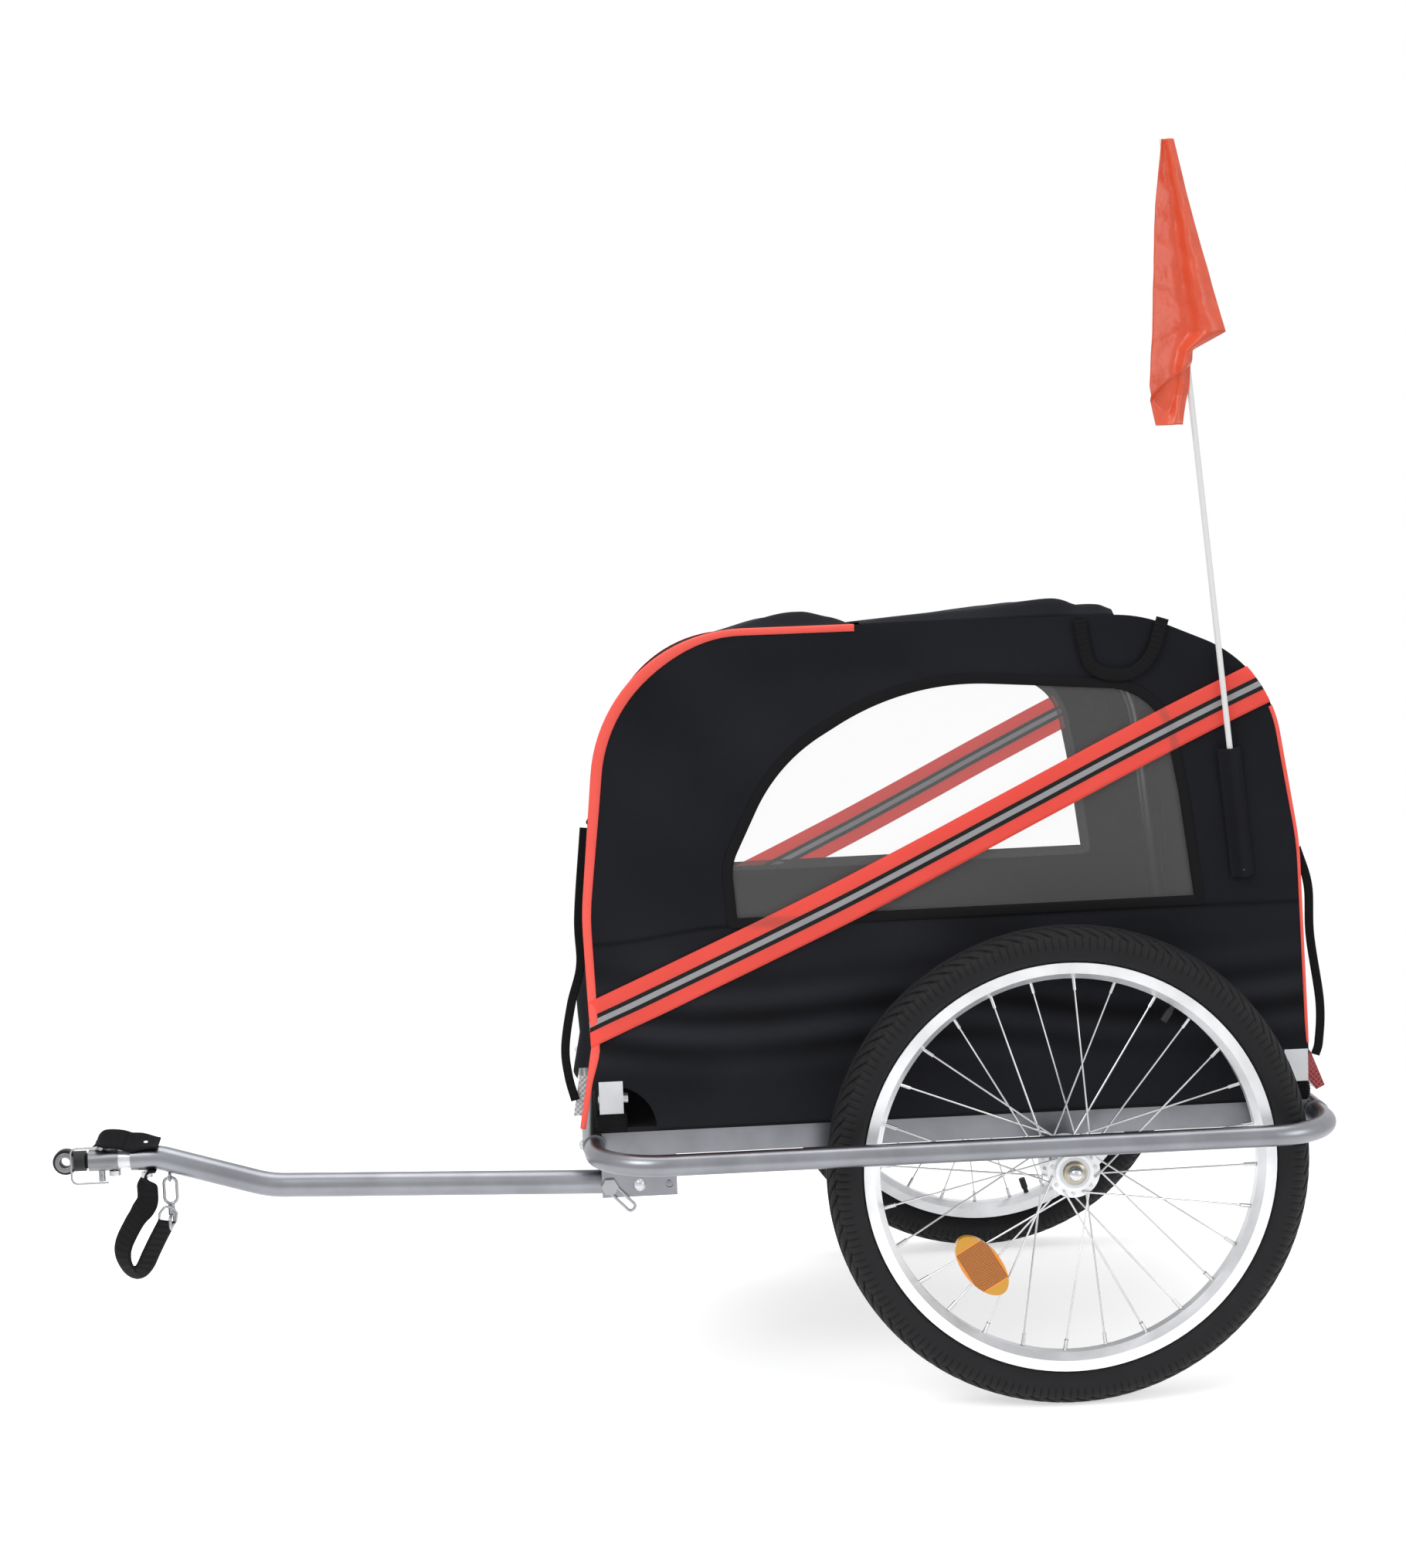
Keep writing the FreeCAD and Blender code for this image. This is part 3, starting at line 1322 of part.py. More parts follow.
def main():
    os.makedirs("parts", exist_ok=True)

    save_wheel_part("rim", make_rim())
    save_wheel_part("tyre", make_tyre())
    save_wheel_part("inner_tube", make_inner_tube())
    save_wheel_part("hub", make_hub())
    save_wheel_part("hub_bearings", make_bearings())
    save_wheel_part("spokes", make_spokes())
    save_wheel_part("wheel_reflector", make_wheel_reflector())

    for side, name in ((1, "left"), (-1, "right")):
        save(name + "_axle_button", make_axle_button(), side)
        save(name + "_side_rail", make_side_rail(), side)
        save(name + "_wheel_guard", make_wheel_guard(), side)
        save(name + "_window", make_window(0 if side == 1 else 1), side)
        save(name + "_hoop", make_hoop(-side))
        save(name + "_side_panel", make_side_panel(-side), side)
    axle = make_axle()
    bracket = make_axle_bracket()
    save("axles", [axle, axle.mirror(vec(0, 0, 0), vec(0, 1, 0))])
    save("axle_brackets", [bracket, bracket.mirror(vec(0, 0, 0), vec(0, 1, 0))])
    save("window_bindings", [make_binding(0), make_binding(1).mirror(vec(0, 0, 0), vec(0, 1, 0))])
    save("reflective_stripes", [make_stripe(0), make_stripe(1).mirror(vec(0, 0, 0), vec(0, 1, 0))])
    right_piping = [strip.mirror(vec(0, 0, 0), vec(0, 1, 0)) for strip in make_piping(1)]
    save("edge_piping", make_piping(-1) + right_piping)

    save("front_cross_tube", make_cross_tube(front_tube_x))
    save("rear_cross_tube", make_cross_tube(rear_tube_x))
    save("guard_screws", make_guard_screws())
    save("floor_board", make_floor_board())
    sides = (-1, 1)
    save("hinge_brackets", [make_hinge_bracket(x, side) for side in sides for x, way in hinge_places(side)])
    save("hinge_bolts", [make_hinge_bolt(x, way, side) for side in sides for x, way in hinge_places(side)])

    save("roof_panel", make_roof_panel())
    save("rear_panel", make_rear_panel())
    save("front_door", make_front_door())
    save("rain_cover", make_rain_cover())
    save("front_tie_strap", make_front_tie_strap())
    save("rear_tie_strap", make_rear_tie_strap())
    save("front_reflector", make_front_reflector())
    save("rear_reflector", make_rear_reflector())

    save("flag_pocket", make_flag_pocket())
    save("flag_pole", make_flag_pole())
    save("flag_pennant", make_pennant())

    save("drawbar_tube", make_drawbar_tube())
    save("drawbar_bracket", make_drawbar_bracket())
    save("drawbar_pivot_bolt", make_pivot_bolt())
    save("drawbar_lock_pin", make_lock_pin())
    save("hitch_inner_tube", make_hitch_inner_tube())
    save("hitch_sleeve", make_hitch_sleeve())
    save("hitch_bolts", make_hitch_bolts())
    save("hitch_plate", make_hitch_plate())
    save("hitch_knuckle", make_hitch_knuckle())
    save("hitch_lock_pin", make_hitch_lock_pin())
    save("safety_strap", make_safety_strap())
    save("snap_hook", make_snap_hook())


main()
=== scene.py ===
# %% [markdown]
# # A dog trailer for a bicycle, dressed for a studio picture
# The solid model already holds every tube, bolt and wheel, in true size and on bodies that
# move. This notebook adds what solids cannot show: cloth that sags, webbing that hangs, tread,
# finishes, light and a camera. Lengths are millimetres measured from the wheel axle, as in the
# solid model, with z up from the ground. `place` turns them into metres in the shared frame.

# %% Load the frame
import json
import math
from functools import partialmethod

import bmesh
import bpy
import numpy as np
from mathutils import Matrix, Vector

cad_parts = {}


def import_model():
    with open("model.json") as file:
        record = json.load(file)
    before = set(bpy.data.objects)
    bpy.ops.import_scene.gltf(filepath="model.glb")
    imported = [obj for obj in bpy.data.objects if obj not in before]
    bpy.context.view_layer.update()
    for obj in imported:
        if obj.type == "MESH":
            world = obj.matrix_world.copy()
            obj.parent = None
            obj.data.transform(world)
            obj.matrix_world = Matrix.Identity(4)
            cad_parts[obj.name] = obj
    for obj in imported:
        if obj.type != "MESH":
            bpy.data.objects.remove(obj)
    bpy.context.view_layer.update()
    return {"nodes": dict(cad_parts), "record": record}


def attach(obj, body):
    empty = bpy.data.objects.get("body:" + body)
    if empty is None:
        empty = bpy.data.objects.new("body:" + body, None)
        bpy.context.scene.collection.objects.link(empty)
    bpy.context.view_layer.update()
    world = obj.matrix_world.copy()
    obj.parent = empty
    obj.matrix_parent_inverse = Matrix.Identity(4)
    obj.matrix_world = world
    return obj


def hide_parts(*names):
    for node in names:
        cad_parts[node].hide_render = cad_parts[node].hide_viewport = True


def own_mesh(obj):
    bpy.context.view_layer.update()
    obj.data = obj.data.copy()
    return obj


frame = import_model()
joints = {j["name"]: j for j in frame["record"]["behaviour"]["joints"]}
MM = 0.001
axle_x, left_wheel_y, axle_z = joints["left_wheel_spin"]["pos_m"]

# %% [markdown]
# ## Lines and surfaces
# Cloth and webbing could be pulled into shape by hand, or simulated. Here each soft piece is a
# grid of points instead: a line bent in the side view, swept across. The line then says what
# the piece is, and a changed corner moves everything that hangs on it. A line is made of
# straight runs and arcs, or of a smooth curve, resampled so that a surface has even cells.


# %% Lines
def unit(v):
    """The vector at length one."""
    return v / np.linalg.norm(v)


def rounded(points, radii, arc_points=24):
    """A polyline whose inner corners are arcs of the given radii.

    An arc of radius r touches both legs at r / tan(half the corner) from the corner.
    """
    corners = [np.array(p, float) for p in points]
    rows = [corners[0][None]]
    for a, b, c, r in zip(corners, corners[1:], corners[2:], radii):
        u, v = unit(a - b), unit(c - b)
        half = math.acos(float(np.clip(u @ v, -1, 1))) / 2
        centre = b + unit(u + v) * r / math.sin(half)
        start, end = b + u * r / math.tan(half) - centre, b + v * r / math.tan(half) - centre
        first = math.atan2(start[1], start[0])
        turn = (math.atan2(end[1], end[0]) - first + math.pi) % (2 * math.pi) - math.pi
        angles = first + turn * np.linspace(0, 1, arc_points)
        rows.append(centre + r * np.stack([np.cos(angles), np.sin(angles)], 1))
    rows.append(corners[-1][None])
    return np.concatenate(rows)


def run_along(line):
    """The length of the line up to each of its points."""
    return np.concatenate([[0], np.cumsum(np.linalg.norm(np.diff(line, axis=0), axis=1))])


def resample(line, count):
    """The same line with evenly spaced points."""
    run = run_along(line)
    at = np.linspace(0, run[-1], count)
    return np.stack([np.interp(at, run, line[:, i]) for i in range(line.shape[1])], 1)


def catmull_rom(a, b, c, d, t):
    """The curve from b to c whose end slopes are half of c - a and half of d - b."""
    return 0.5 * (2 * b + (c - a) * t + (2 * a - 5 * b + 4 * c - d) * t**2
                  + (3 * b - a - 3 * c + d) * t**3)


def smooth_line(points, count, steps=24):
    """A smooth line through the points, evenly resampled."""
    p = np.array(points, float)
    p = np.concatenate([2 * p[:1] - p[1:2], p, 2 * p[-1:] - p[-2:-1]])
    t = np.linspace(0, 1, steps, endpoint=False)[:, None]
    curve = catmull_rom(*(p[i:len(p) - 3 + i, None, :] for i in range(4)), t)
    line = np.concatenate([curve.reshape(-1, p.shape[1]), p[-2:-1]])
    return resample(line, count)


def side_ways(line, closed=False):
    """Unit vectors to the right of travel, for a line in the side view."""
    if closed:
        along = np.roll(line, -1, 0) - np.roll(line, 1, 0)
    else:
        along = np.gradient(line, axis=0)
    along /= np.linalg.norm(along, axis=1, keepdims=True)
    return np.stack([along[:, 1], -along[:, 0]], 1)


def ease(low, high, x):
    """0 below low, 1 above high, and a smooth S of 3 t^2 - 2 t^3 between."""
    t = np.clip((x - low) / (high - low), 0, 1)
    return t * t * (3 - 2 * t)


def with_y(flat, y):
    """Points in space from side-view points (x, z) and their y."""
    return np.stack([flat[..., 0], np.broadcast_to(y, flat.shape[:-1]), flat[..., 1]], -1)


quarter = rounded([(0, 0), (10, 0), (10, 10)], [10])
print("a quarter turn of radius 10 measures", round(float(run_along(quarter)[-1]), 2))


# %% [markdown]
# ## From grid to mesh
# Real cloth has two faces and an edge. A Solidify modifier could add them, but then the mesh
# would not be final. So `thick` works out the second face itself, and the piece is a closed
# skin. The finish, the slot and the body that a piece rides on are set in the same call, so
# that none can be forgotten.


# %% Meshes
def place(points):
    """Axle millimetres to metres in the shared frame."""
    return np.asarray(points, float) * MM + np.array([axle_x, 0, 0])


def grid_faces(nu, nv, wrap_u=False, wrap_v=False, start=0):
    """Four-sided faces of a grid whose point (i, j) has the number i * nv + j."""
    u = np.arange(nu if wrap_u else nu - 1)
    v = np.arange(nv if wrap_v else nv - 1)
    i, j = np.meshgrid(u, v, indexing="ij")
    i2, j2 = (i + 1) % nu, (j + 1) % nv
    quads = np.stack([i * nv + j, i2 * nv + j, i2 * nv + j2, i * nv + j2], -1)
    return quads.reshape(-1, 4) + start


def grid_normals(grid, wrap_u=False):
    """Unit normals of a grid: the cross product of its two directions."""
    if wrap_u:
        du = np.roll(grid, -1, 0) - np.roll(grid, 1, 0)
    else:
        du = np.gradient(grid, axis=0)
    dv = np.gradient(grid, axis=1)
    n = np.cross(du, dv)
    return n / np.maximum(np.linalg.norm(n, axis=-1, keepdims=True), 1e-9)


def thick(grid, depth, wrap_u=False):
    """A closed skin: the grid, a copy set back by depth along its normals, and the rims."""
    nu, nv = grid.shape[:2]
    back = grid - grid_normals(grid, wrap_u) * depth
    verts = np.concatenate([grid.reshape(-1, 3), back.reshape(-1, 3)])
    size = nu * nv
    faces = [grid_faces(nu, nv, wrap_u), grid_faces(nu, nv, wrap_u, start=size)[:, ::-1]]
    u = np.arange(nu if wrap_u else nu - 1)
    rims = [(u * nv, (u + 1) % nu * nv), (u * nv + nv - 1, (u + 1) % nu * nv + nv - 1)]
    if not wrap_u:
        v = np.arange(nv - 1)
        rims += [(v, v + 1), ((nu - 1) * nv + v, (nu - 1) * nv + v + 1)]
    for a, b in rims:
        faces.append(np.stack([a, b, b + size, a + size], 1))
    return verts, np.concatenate(faces)


def add_piece(name, verts, faces, body, material, nodes=(), values=None):
    """Makes one piece, gives it a finish, and sets the body it rides on."""
    mesh = bpy.data.meshes.new(name)
    mesh.from_pydata(place(verts).tolist(), [], faces.tolist())
    work = bmesh.new()
    work.from_mesh(mesh)
    bmesh.ops.recalc_face_normals(work, faces=work.faces)
    work.to_mesh(mesh)
    work.free()
    mesh.polygons.foreach_set("use_smooth", np.ones(len(mesh.polygons), bool))
    for key, data in (values or {}).items():
        layer = mesh.attributes.new(key, "FLOAT", "POINT")
        layer.data.foreach_set("value", np.ascontiguousarray(data, np.float32).ravel())
    mesh.materials.append(material)
    piece = bpy.data.objects.new(name, mesh)
    bpy.context.scene.collection.objects.link(piece)
    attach(piece, body)
    if nodes:
        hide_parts(*nodes)
    return piece


def add_cloth(name, grid, depth, body, material, nodes=(), values=None, wrap_u=False):
    """A piece of cloth of that depth behind a grid; values are given per grid point."""
    verts, faces = thick(grid, depth, wrap_u)
    if values:
        values = {key: np.concatenate([np.ravel(v), np.ravel(v)]) for key, v in values.items()}
    return add_piece(name, verts, faces, body, material, nodes, values)


print("a grid of 3 by 2 points has", len(grid_faces(3, 2)), "faces")

# %% [markdown]
# ## Finishes
# A shader is arithmetic on sockets. `Val` lets it be written as arithmetic: each operator adds
# one Math node, so a pattern reads like the formula it is. Every other node comes from
# `add_node`. Patterns use Object coordinates, which stay with a piece when it moves.


# %% Shader arithmetic
def fill(tree, socket, value):
    """Links a Val or a socket, or sets a plain value; a colour of three gets full alpha."""
    if isinstance(value, Val):
        value = value.socket
    if isinstance(value, bpy.types.NodeSocket):
        tree.links.new(value, socket)
    elif isinstance(value, tuple) and len(value) == 3:
        socket.default_value = (*value, 1)
    else:
        socket.default_value = value


def add_node(tree, kind, settings=None, inputs=None):
    """One shader node: its settings come first, then the values or links of its sockets."""
    node = tree.nodes.new("ShaderNode" + kind)
    for key, value in (settings or {}).items():
        setattr(node, key, value)
    for key, value in (inputs or {}).items():
        fill(tree, node.inputs[key], value)
    return node


class Val:
    """A number on a socket; arithmetic on it adds Math nodes."""

    def __init__(self, tree, socket):
        self.tree, self.socket = tree, socket

    def math(self, kind, *others, clamp=False):
        """The result of one Math node that starts from this number."""
        node = add_node(self.tree, "Math", {"operation": kind, "use_clamp": clamp},
                        dict(enumerate((self,) + others)))
        return Val(self.tree, node.outputs[0])

    __add__ = partialmethod(math, "ADD")
    __sub__ = partialmethod(math, "SUBTRACT")
    __mul__ = partialmethod(math, "MULTIPLY")
    __truediv__ = partialmethod(math, "DIVIDE")
    __abs__ = partialmethod(math, "ABSOLUTE")
    __lt__ = partialmethod(math, "LESS_THAN")
    sin = partialmethod(math, "SINE")
    fract = partialmethod(math, "FRACT")

    def ramp(self, low, high):
        """0 below low, 1 above high."""
        return ((self - low) / (high - low)).math("ADD", 0.0, clamp=True)


class Finish:
    """One material around a Principled BSDF."""

    def __init__(self, name, color, rough, metallic=0.0, coat=0.0, gloss=0.5):
        self.material = bpy.data.materials.new(name)
        self.material.use_nodes = True
        self.tree = self.material.node_tree
        self.bsdf = self.tree.nodes["Principled BSDF"]
        self.feed({"Base Color": color, "Roughness": rough, "Metallic": metallic,
                   "Coat Weight": coat, "Coat Roughness": 0.1, "Specular IOR Level": gloss})
        self.coords = add_node(self.tree, "TexCoord").outputs["Object"]
        split = add_node(self.tree, "SeparateXYZ", inputs={0: self.coords})
        self.x, self.y, self.z = (Val(self.tree, s) for s in split.outputs)

    def feed(self, inputs):
        """Sets or links inputs of the Principled BSDF."""
        for name, value in inputs.items():
            fill(self.tree, self.bsdf.inputs[name], value)

    def noise(self, scale, detail=3.0):
        """Soft noise round 0.5, with so many clouds to a metre."""
        node = add_node(self.tree, "TexNoise",
                        inputs={"Scale": scale, "Detail": detail, "Vector": self.coords})
        return Val(self.tree, node.outputs["Fac"])

    def attribute(self, name):
        """A value that the piece's vertices carry, or 0 where they carry none."""
        node = add_node(self.tree, "Attribute", {"attribute_name": name})
        return Val(self.tree, node.outputs["Fac"])

    def mix(self, factor, low, high):
        """A colour between two colours or colour sockets."""
        node = add_node(self.tree, "Mix", {"data_type": "RGBA"}, {0: factor, 6: low, 7: high})
        return node.outputs[2]

    def bump(self, height, distance, strength):
        """Roughens the surface by a height."""
        node = add_node(self.tree, "Bump",
                        inputs={"Distance": distance, "Strength": strength, "Height": height})
        self.feed({"Normal": node.outputs[0]})

    def blend(self, factor, shader):
        """Mixes the Principled BSDF with another shader."""
        both = add_node(self.tree, "MixShader",
                        inputs={0: factor, 1: self.bsdf.outputs[0], 2: shader.outputs[0]})
        fill(self.tree, self.tree.nodes["Material Output"].inputs["Surface"], both.outputs[0])


# %% [markdown]
# ## Plain finishes
# The tubes are painted silver, the small fittings are plated, and the rims are bare alloy.
# One even colour would look like plastic, so a metal's colour and roughness drift a little
# over a hand's width. The cloth is a matt weave. Its creases would hardly show in so dark a
# black, so its vertices also carry painted light and painted shade: lighter where a crease
# tilts towards the light from above, darker where it tilts away.


# %% Metals and cloth
def metal(name, color, rough, spread=0.06, metallic=1.0):
    """Metal with clouds in its colour and finer ones in its roughness."""
    finish = Finish(name, color, rough, metallic=metallic)
    dull, clean = (tuple(c * share for c in color) for share in (0.86, 1.1))
    finish.feed({"Base Color": finish.mix(finish.noise(22).ramp(0.3, 0.7), dull, clean),
                 "Roughness": finish.noise(60) * spread + (rough - spread / 2)})
    return finish.material


def coral_finish(color=(0.9, 0.1, 0.078)):
    """Coral cloth, up to half as light again in patches, with a fine weave."""
    finish = Finish("coral_cloth", color, 0.75, gloss=0.15)
    light = tuple(min(1, c * 1.5 + 0.003) for c in color)
    finish.feed({"Base Color": finish.mix(finish.noise(9, 5), color, light)})
    finish.bump(finish.noise(900, 2), 0.0006, 0.5)
    return finish.material


def black_cloth_finish():
    """Black cloth with random tone. A vertex may carry painted light and painted shade for its
    crease, and a darker seam, from -1 to 1.
    """
    finish = Finish("black_cloth", (0.0075, 0.008, 0.0105), 0.9, gloss=0.15)
    # Random tone, plus painted light and painted shade on the creases from the fold value
    tone_and_painted_crease_light = finish.noise(9, 5) * 0.4 + 0.3 + finish.attribute("fold") * 0.5
    deep, light = (0.002, 0.0022, 0.003), (0.02, 0.021, 0.0265)
    finish.feed({"Base Color": finish.mix(tone_and_painted_crease_light, deep, light)})
    finish.bump(finish.noise(900, 2), 0.0006, 0.5)
    return finish.material


SILVER = metal("silver_paint", (0.26, 0.267, 0.29), 0.33)
ZINC = metal("zinc_plate", (0.66, 0.67, 0.69), 0.24, metallic=0.6)
ALLOY = metal("rim_alloy", (0.87, 0.88, 0.9), 0.3, metallic=0.6)
BRIGHT = metal("bright_wire", (0.6, 0.6, 0.61), 0.16)
STEEL = metal("pin_steel", (0.34, 0.345, 0.36), 0.25)
DARK = metal("dark_steel", (0.23, 0.235, 0.245), 0.34)
BRASS = metal("brass", (0.42, 0.37, 0.26), 0.28)
WHITE = Finish("white_pole", (0.82, 0.82, 0.82), 0.35).material
RUBBER = Finish("black_rubber", (0.016, 0.016, 0.018), 0.5, gloss=0.3).material
BOARD = Finish("black_board", (0.008, 0.008, 0.009), 0.8, gloss=0.2).material
BLACK = black_cloth_finish()
CORAL = coral_finish()
print("plain finishes", len(bpy.data.materials))

# %% [markdown]
# ## Finishes with a pattern
# The stripe is three tapes sewn together: coral, black and a reflective grey. Its colours go by
# how far a point lies across the band, which each vertex carries as a value, so they follow
# the band when it bends, and they also glow a little as painted light. Webbing has ribs along
# its length, and lenses a grid of small prisms, with painted shade in the prisms' hollows.


# %% Tapes and lenses
def stripe_finish():
    """Bands by the distance off the middle line (0 to 1); light also comes through, and the bands
    glow a little as painted light.
    """
    grey_to, black_to, seam_half = 0.13, 0.33, 0.03
    finish = Finish("stripe_tape", (0.86, 0.1, 0.075), 0.7)
    off = abs(finish.attribute("across") - 0.5) * 2.0
    coral = finish.mix(finish.noise(20), (0.95, 0.12, 0.09), (1.0, 0.16, 0.12))
    black = finish.mix(off < black_to, coral, (0.01, 0.01, 0.012))
    bands = finish.mix(off < grey_to, black, (0.5, 0.5, 0.52))
    # Painted light: the bands glow a little, which brightens the stripe
    finish.feed({"Base Color": bands, "Emission Color": bands, "Emission Strength": 0.16})
    finish.blend(0.5, add_node(finish.tree, "BsdfTranslucent", inputs={"Color": bands}))
    seams = (abs(off - 0.32) < seam_half) + (abs(off - 0.96) < seam_half)
    finish.bump(seams * -1.0, 0.0008, 0.6)
    return finish.material


def webbing_finish():
    """Black webbing with ribs across its length, which its vertices carry in metres."""
    finish = Finish("black_webbing", (0.006, 0.006, 0.007), 0.8, gloss=0.15)
    ribs = (finish.attribute("along") * 900.0).sin()
    finish.bump(ribs, 0.0005, 0.6)
    return finish.material


def prisms(u, v, per_metre):
    """Small pyramids: the sum of two triangle waves on crossed directions, from 0 to 1."""
    return abs((u * per_metre).fract() - 0.5) + abs((v * per_metre).fract() - 0.5)


def lens_finish(name, color, deep, coat=0.6):
    """A lens of prisms that stand on their corners in the side view, with painted shade in their
    hollows.
    """
    finish = Finish(name, color, 0.25, coat=coat)
    facets = prisms(finish.x + finish.z, finish.x - finish.z, 180.0)
    # Painted shade: the prisms' hollows take the darker colour
    finish.feed({"Base Color": finish.mix(facets, deep, color)})
    finish.bump(facets, 0.002, 0.7)
    return finish.material


def wheel_lens_finish(node, lean, half_field):
    """An amber lens with a field of prisms in the middle and a smooth lug at each end; the prisms'
    hollows get painted shade.
    """
    finish = Finish("amber_wheel_lens", (0.6, 0.19, 0.002), 0.22, coat=0.15)
    mesh = frame["nodes"][node].data
    points = np.empty(len(mesh.vertices) * 3)
    mesh.vertices.foreach_get("co", points)
    points = points.reshape(-1, 3)
    middle = (points.min(0) + points.max(0)) / 2
    x, z = finish.x - float(middle[0]), finish.z - float(middle[2])
    along = x * math.cos(lean) + z * math.sin(lean)
    across = z * math.cos(lean) - x * math.sin(lean)
    field = (abs(along) < half_field) * (abs(across) < half_field * 0.72)
    facets = prisms(along, across, 420.0)
    # Painted shade: the prisms' hollows take the darker amber
    pattern = finish.mix(facets, (0.22, 0.05, 0.0), (0.62, 0.2, 0.003))
    plain = finish.mix(abs(along) < half_field * 1.08, (0.56, 0.27, 0.012), (0.74, 0.24, 0.01))
    finish.feed({"Base Color": finish.mix(field, plain, pattern)})
    finish.bump(facets * field, 0.002, 0.7)
    return finish.material


# %% Film, vinyl and rubber
def film_finish():
    """Clear film: nearly all alpha, with a little white haze that glows as painted light."""
    finish = Finish("clear_film", (0.9, 0.9, 0.9), 0.25)
    # Painted light: the haze is a white glow
    finish.feed({"Alpha": 0.07, "Emission Color": (1, 1, 1), "Emission Strength": 0.3})
    return finish.material


def vinyl_finish():
    """Orange vinyl with shallow dents."""
    finish = Finish("orange_vinyl", (0.78, 0.105, 0.043), 0.32)
    finish.bump(finish.noise(26), 0.012, 0.4)
    return finish.material


def tyre_finish():
    """Rubber with painted shade in the grooves, whose depth the tyre's vertices carry."""
    finish = Finish("tyre_rubber", (0.008, 0.008, 0.009), 0.62, gloss=0.2)
    # Painted shade: the groove colour is ten times darker than the blocks
    block, groove = (0.0105, 0.0105, 0.012), (0.001, 0.001, 0.001)
    finish.feed({"Base Color": finish.mix(finish.attribute("groove"), block, groove),
                 "Roughness": finish.noise(40) * 0.2 + 0.52})
    finish.bump(finish.noise(500), 0.0006, 0.4)
    return finish.material


STRIPE = stripe_finish()
WEBBING = webbing_finish()
AMBER = lens_finish("amber_lens", (0.6, 0.19, 0.002), (0.3, 0.075, 0.0), coat=0.15)
WHEEL_LENS = wheel_lens_finish("left_wheel_reflector", math.radians(-60), 0.0235)
RED_LENS = lens_finish("red_lens", (0.5, 0.02, 0.02), (0.25, 0.004, 0.004))
CLEAR_LENS = lens_finish("clear_lens", (0.8, 0.8, 0.8), (0.5, 0.5, 0.52))
FILM = film_finish()
VINYL = vinyl_finish()
TYRE = tyre_finish()
print("all finishes", len(bpy.data.materials))

# %% [markdown]
# ## Metal and plastic parts keep their solid shape
# Tubes, bolts, rims, spokes and lenses are right as they are in the solid model, so they only
# get a finish. The names are listed by finish, which is shorter than the other way round.

# %% Finish the solid nodes
solid_finishes = {
    SILVER: "front_cross_tube rear_cross_tube left_side_rail right_side_rail left_wheel_guard "
            "right_wheel_guard axle_brackets left_hoop right_hoop drawbar_tube drawbar_bracket",
    ZINC: "guard_screws axles hinge_brackets hinge_bolts drawbar_pivot_bolt hitch_inner_tube "
          "hitch_bolts left_hub_bearings right_hub_bearings",
    STEEL: "drawbar_lock_pin hitch_lock_pin snap_hook",
    DARK: "hitch_sleeve",
    ALLOY: "left_rim right_rim left_hub right_hub",
    BRIGHT: "left_spokes right_spokes left_axle_button right_axle_button",
    RUBBER: "left_inner_tube right_inner_tube hitch_knuckle hitch_plate",
    AMBER: "right_wheel_reflector",
    WHEEL_LENS: "left_wheel_reflector",
    RED_LENS: "rear_reflector",
    CLEAR_LENS: "front_reflector",
    WHITE: "flag_pole",
    BOARD: "floor_board",
}
for material, names in solid_finishes.items():
    for name in names.split():
        mesh = frame["nodes"][name].data
        mesh.materials.clear()
        mesh.materials.append(material)
print("finished nodes", sum(len(names.split()) for names in solid_finishes.values()))

# %% [markdown]
# ## The cabin's side outline
# The cabin is cloth over two hoops. Its outline is the same as the solids': shares of the
# cabin's length and height, with arcs at the corners. At the front, the foot kicks forward
# over the cross tube. The window lies inside the outline, and both can be seen from the
# window's middle, so one angle gives a point on each. A panel is the ring between the two.

# %% Cabin lines
cabin_front, cabin_length, cabin_height, hem_z = -488, 754, 512, 299
panel_out, sheet_half, cloth_t = 258.8, 256.9, 1.6
hinge_front, hinge_rear, nest, arch_r, arch_foot = -466, 251, 26, 46, 20
kick, kick_h, hem_lift = 17.4, 82, 3
window_middle = np.array([-95.0, 632.0])
line_points = 3000


def on_cabin(shares):
    """Points from shares of the cabin's length and height."""
    return [(cabin_front + x * cabin_length, hem_z + z * cabin_height) for x, z in shares]


cabin_points = on_cabin([(0.009, 0), (0, 0.437), (0.04, 1), (0.773, 1), (0.948, 0.889),
                         (0.988, 0.527), (1, 0)])
cabin_radii = [cabin_height * s for s in (0.596, 0.312, 0.287, 0.256, 0.588)]
window_points = on_cabin([(0.204, 0.41), (0.198, 0.53), (0.267, 0.736), (0.452, 0.895),
                          (0.802, 0.856), (0.829, 0.641), (0.849, 0.416)])
window_radii = [cabin_height * s for s in (0.115, 0.357, 0.541, 0.141, 0.391)]
cabin_line = resample(rounded(cabin_points, cabin_radii), line_points)
kick_fall = np.clip((hem_z + hem_lift + kick_h - cabin_line[:, 1]) / kick_h, 0, 1)
cabin_line[:, 0] -= kick * kick_fall * (cabin_line[:, 0] < 0)
window_open = rounded(window_points, window_radii)
window_line = resample(np.concatenate([window_open, window_open[:1]]), line_points)
print("outline", round(run_along(cabin_line)[-1]), "window", round(run_along(window_line)[-1]))


# %% From one side to the other
def at_side(flat, across):
    """Left-side points moved a share of the way across: the right side is smaller all round."""
    inset = nest * across
    x = cabin_front + inset + (flat[..., 0] - cabin_front) * (1 - 2 * inset / cabin_length)
    z = hem_z + (flat[..., 1] - hem_z) * (1 - inset / cabin_height)
    return np.stack([x, z], -1)


def across_at(y):
    """The share of the way from the left side to the right."""
    return (y / sheet_half + 1) / 2


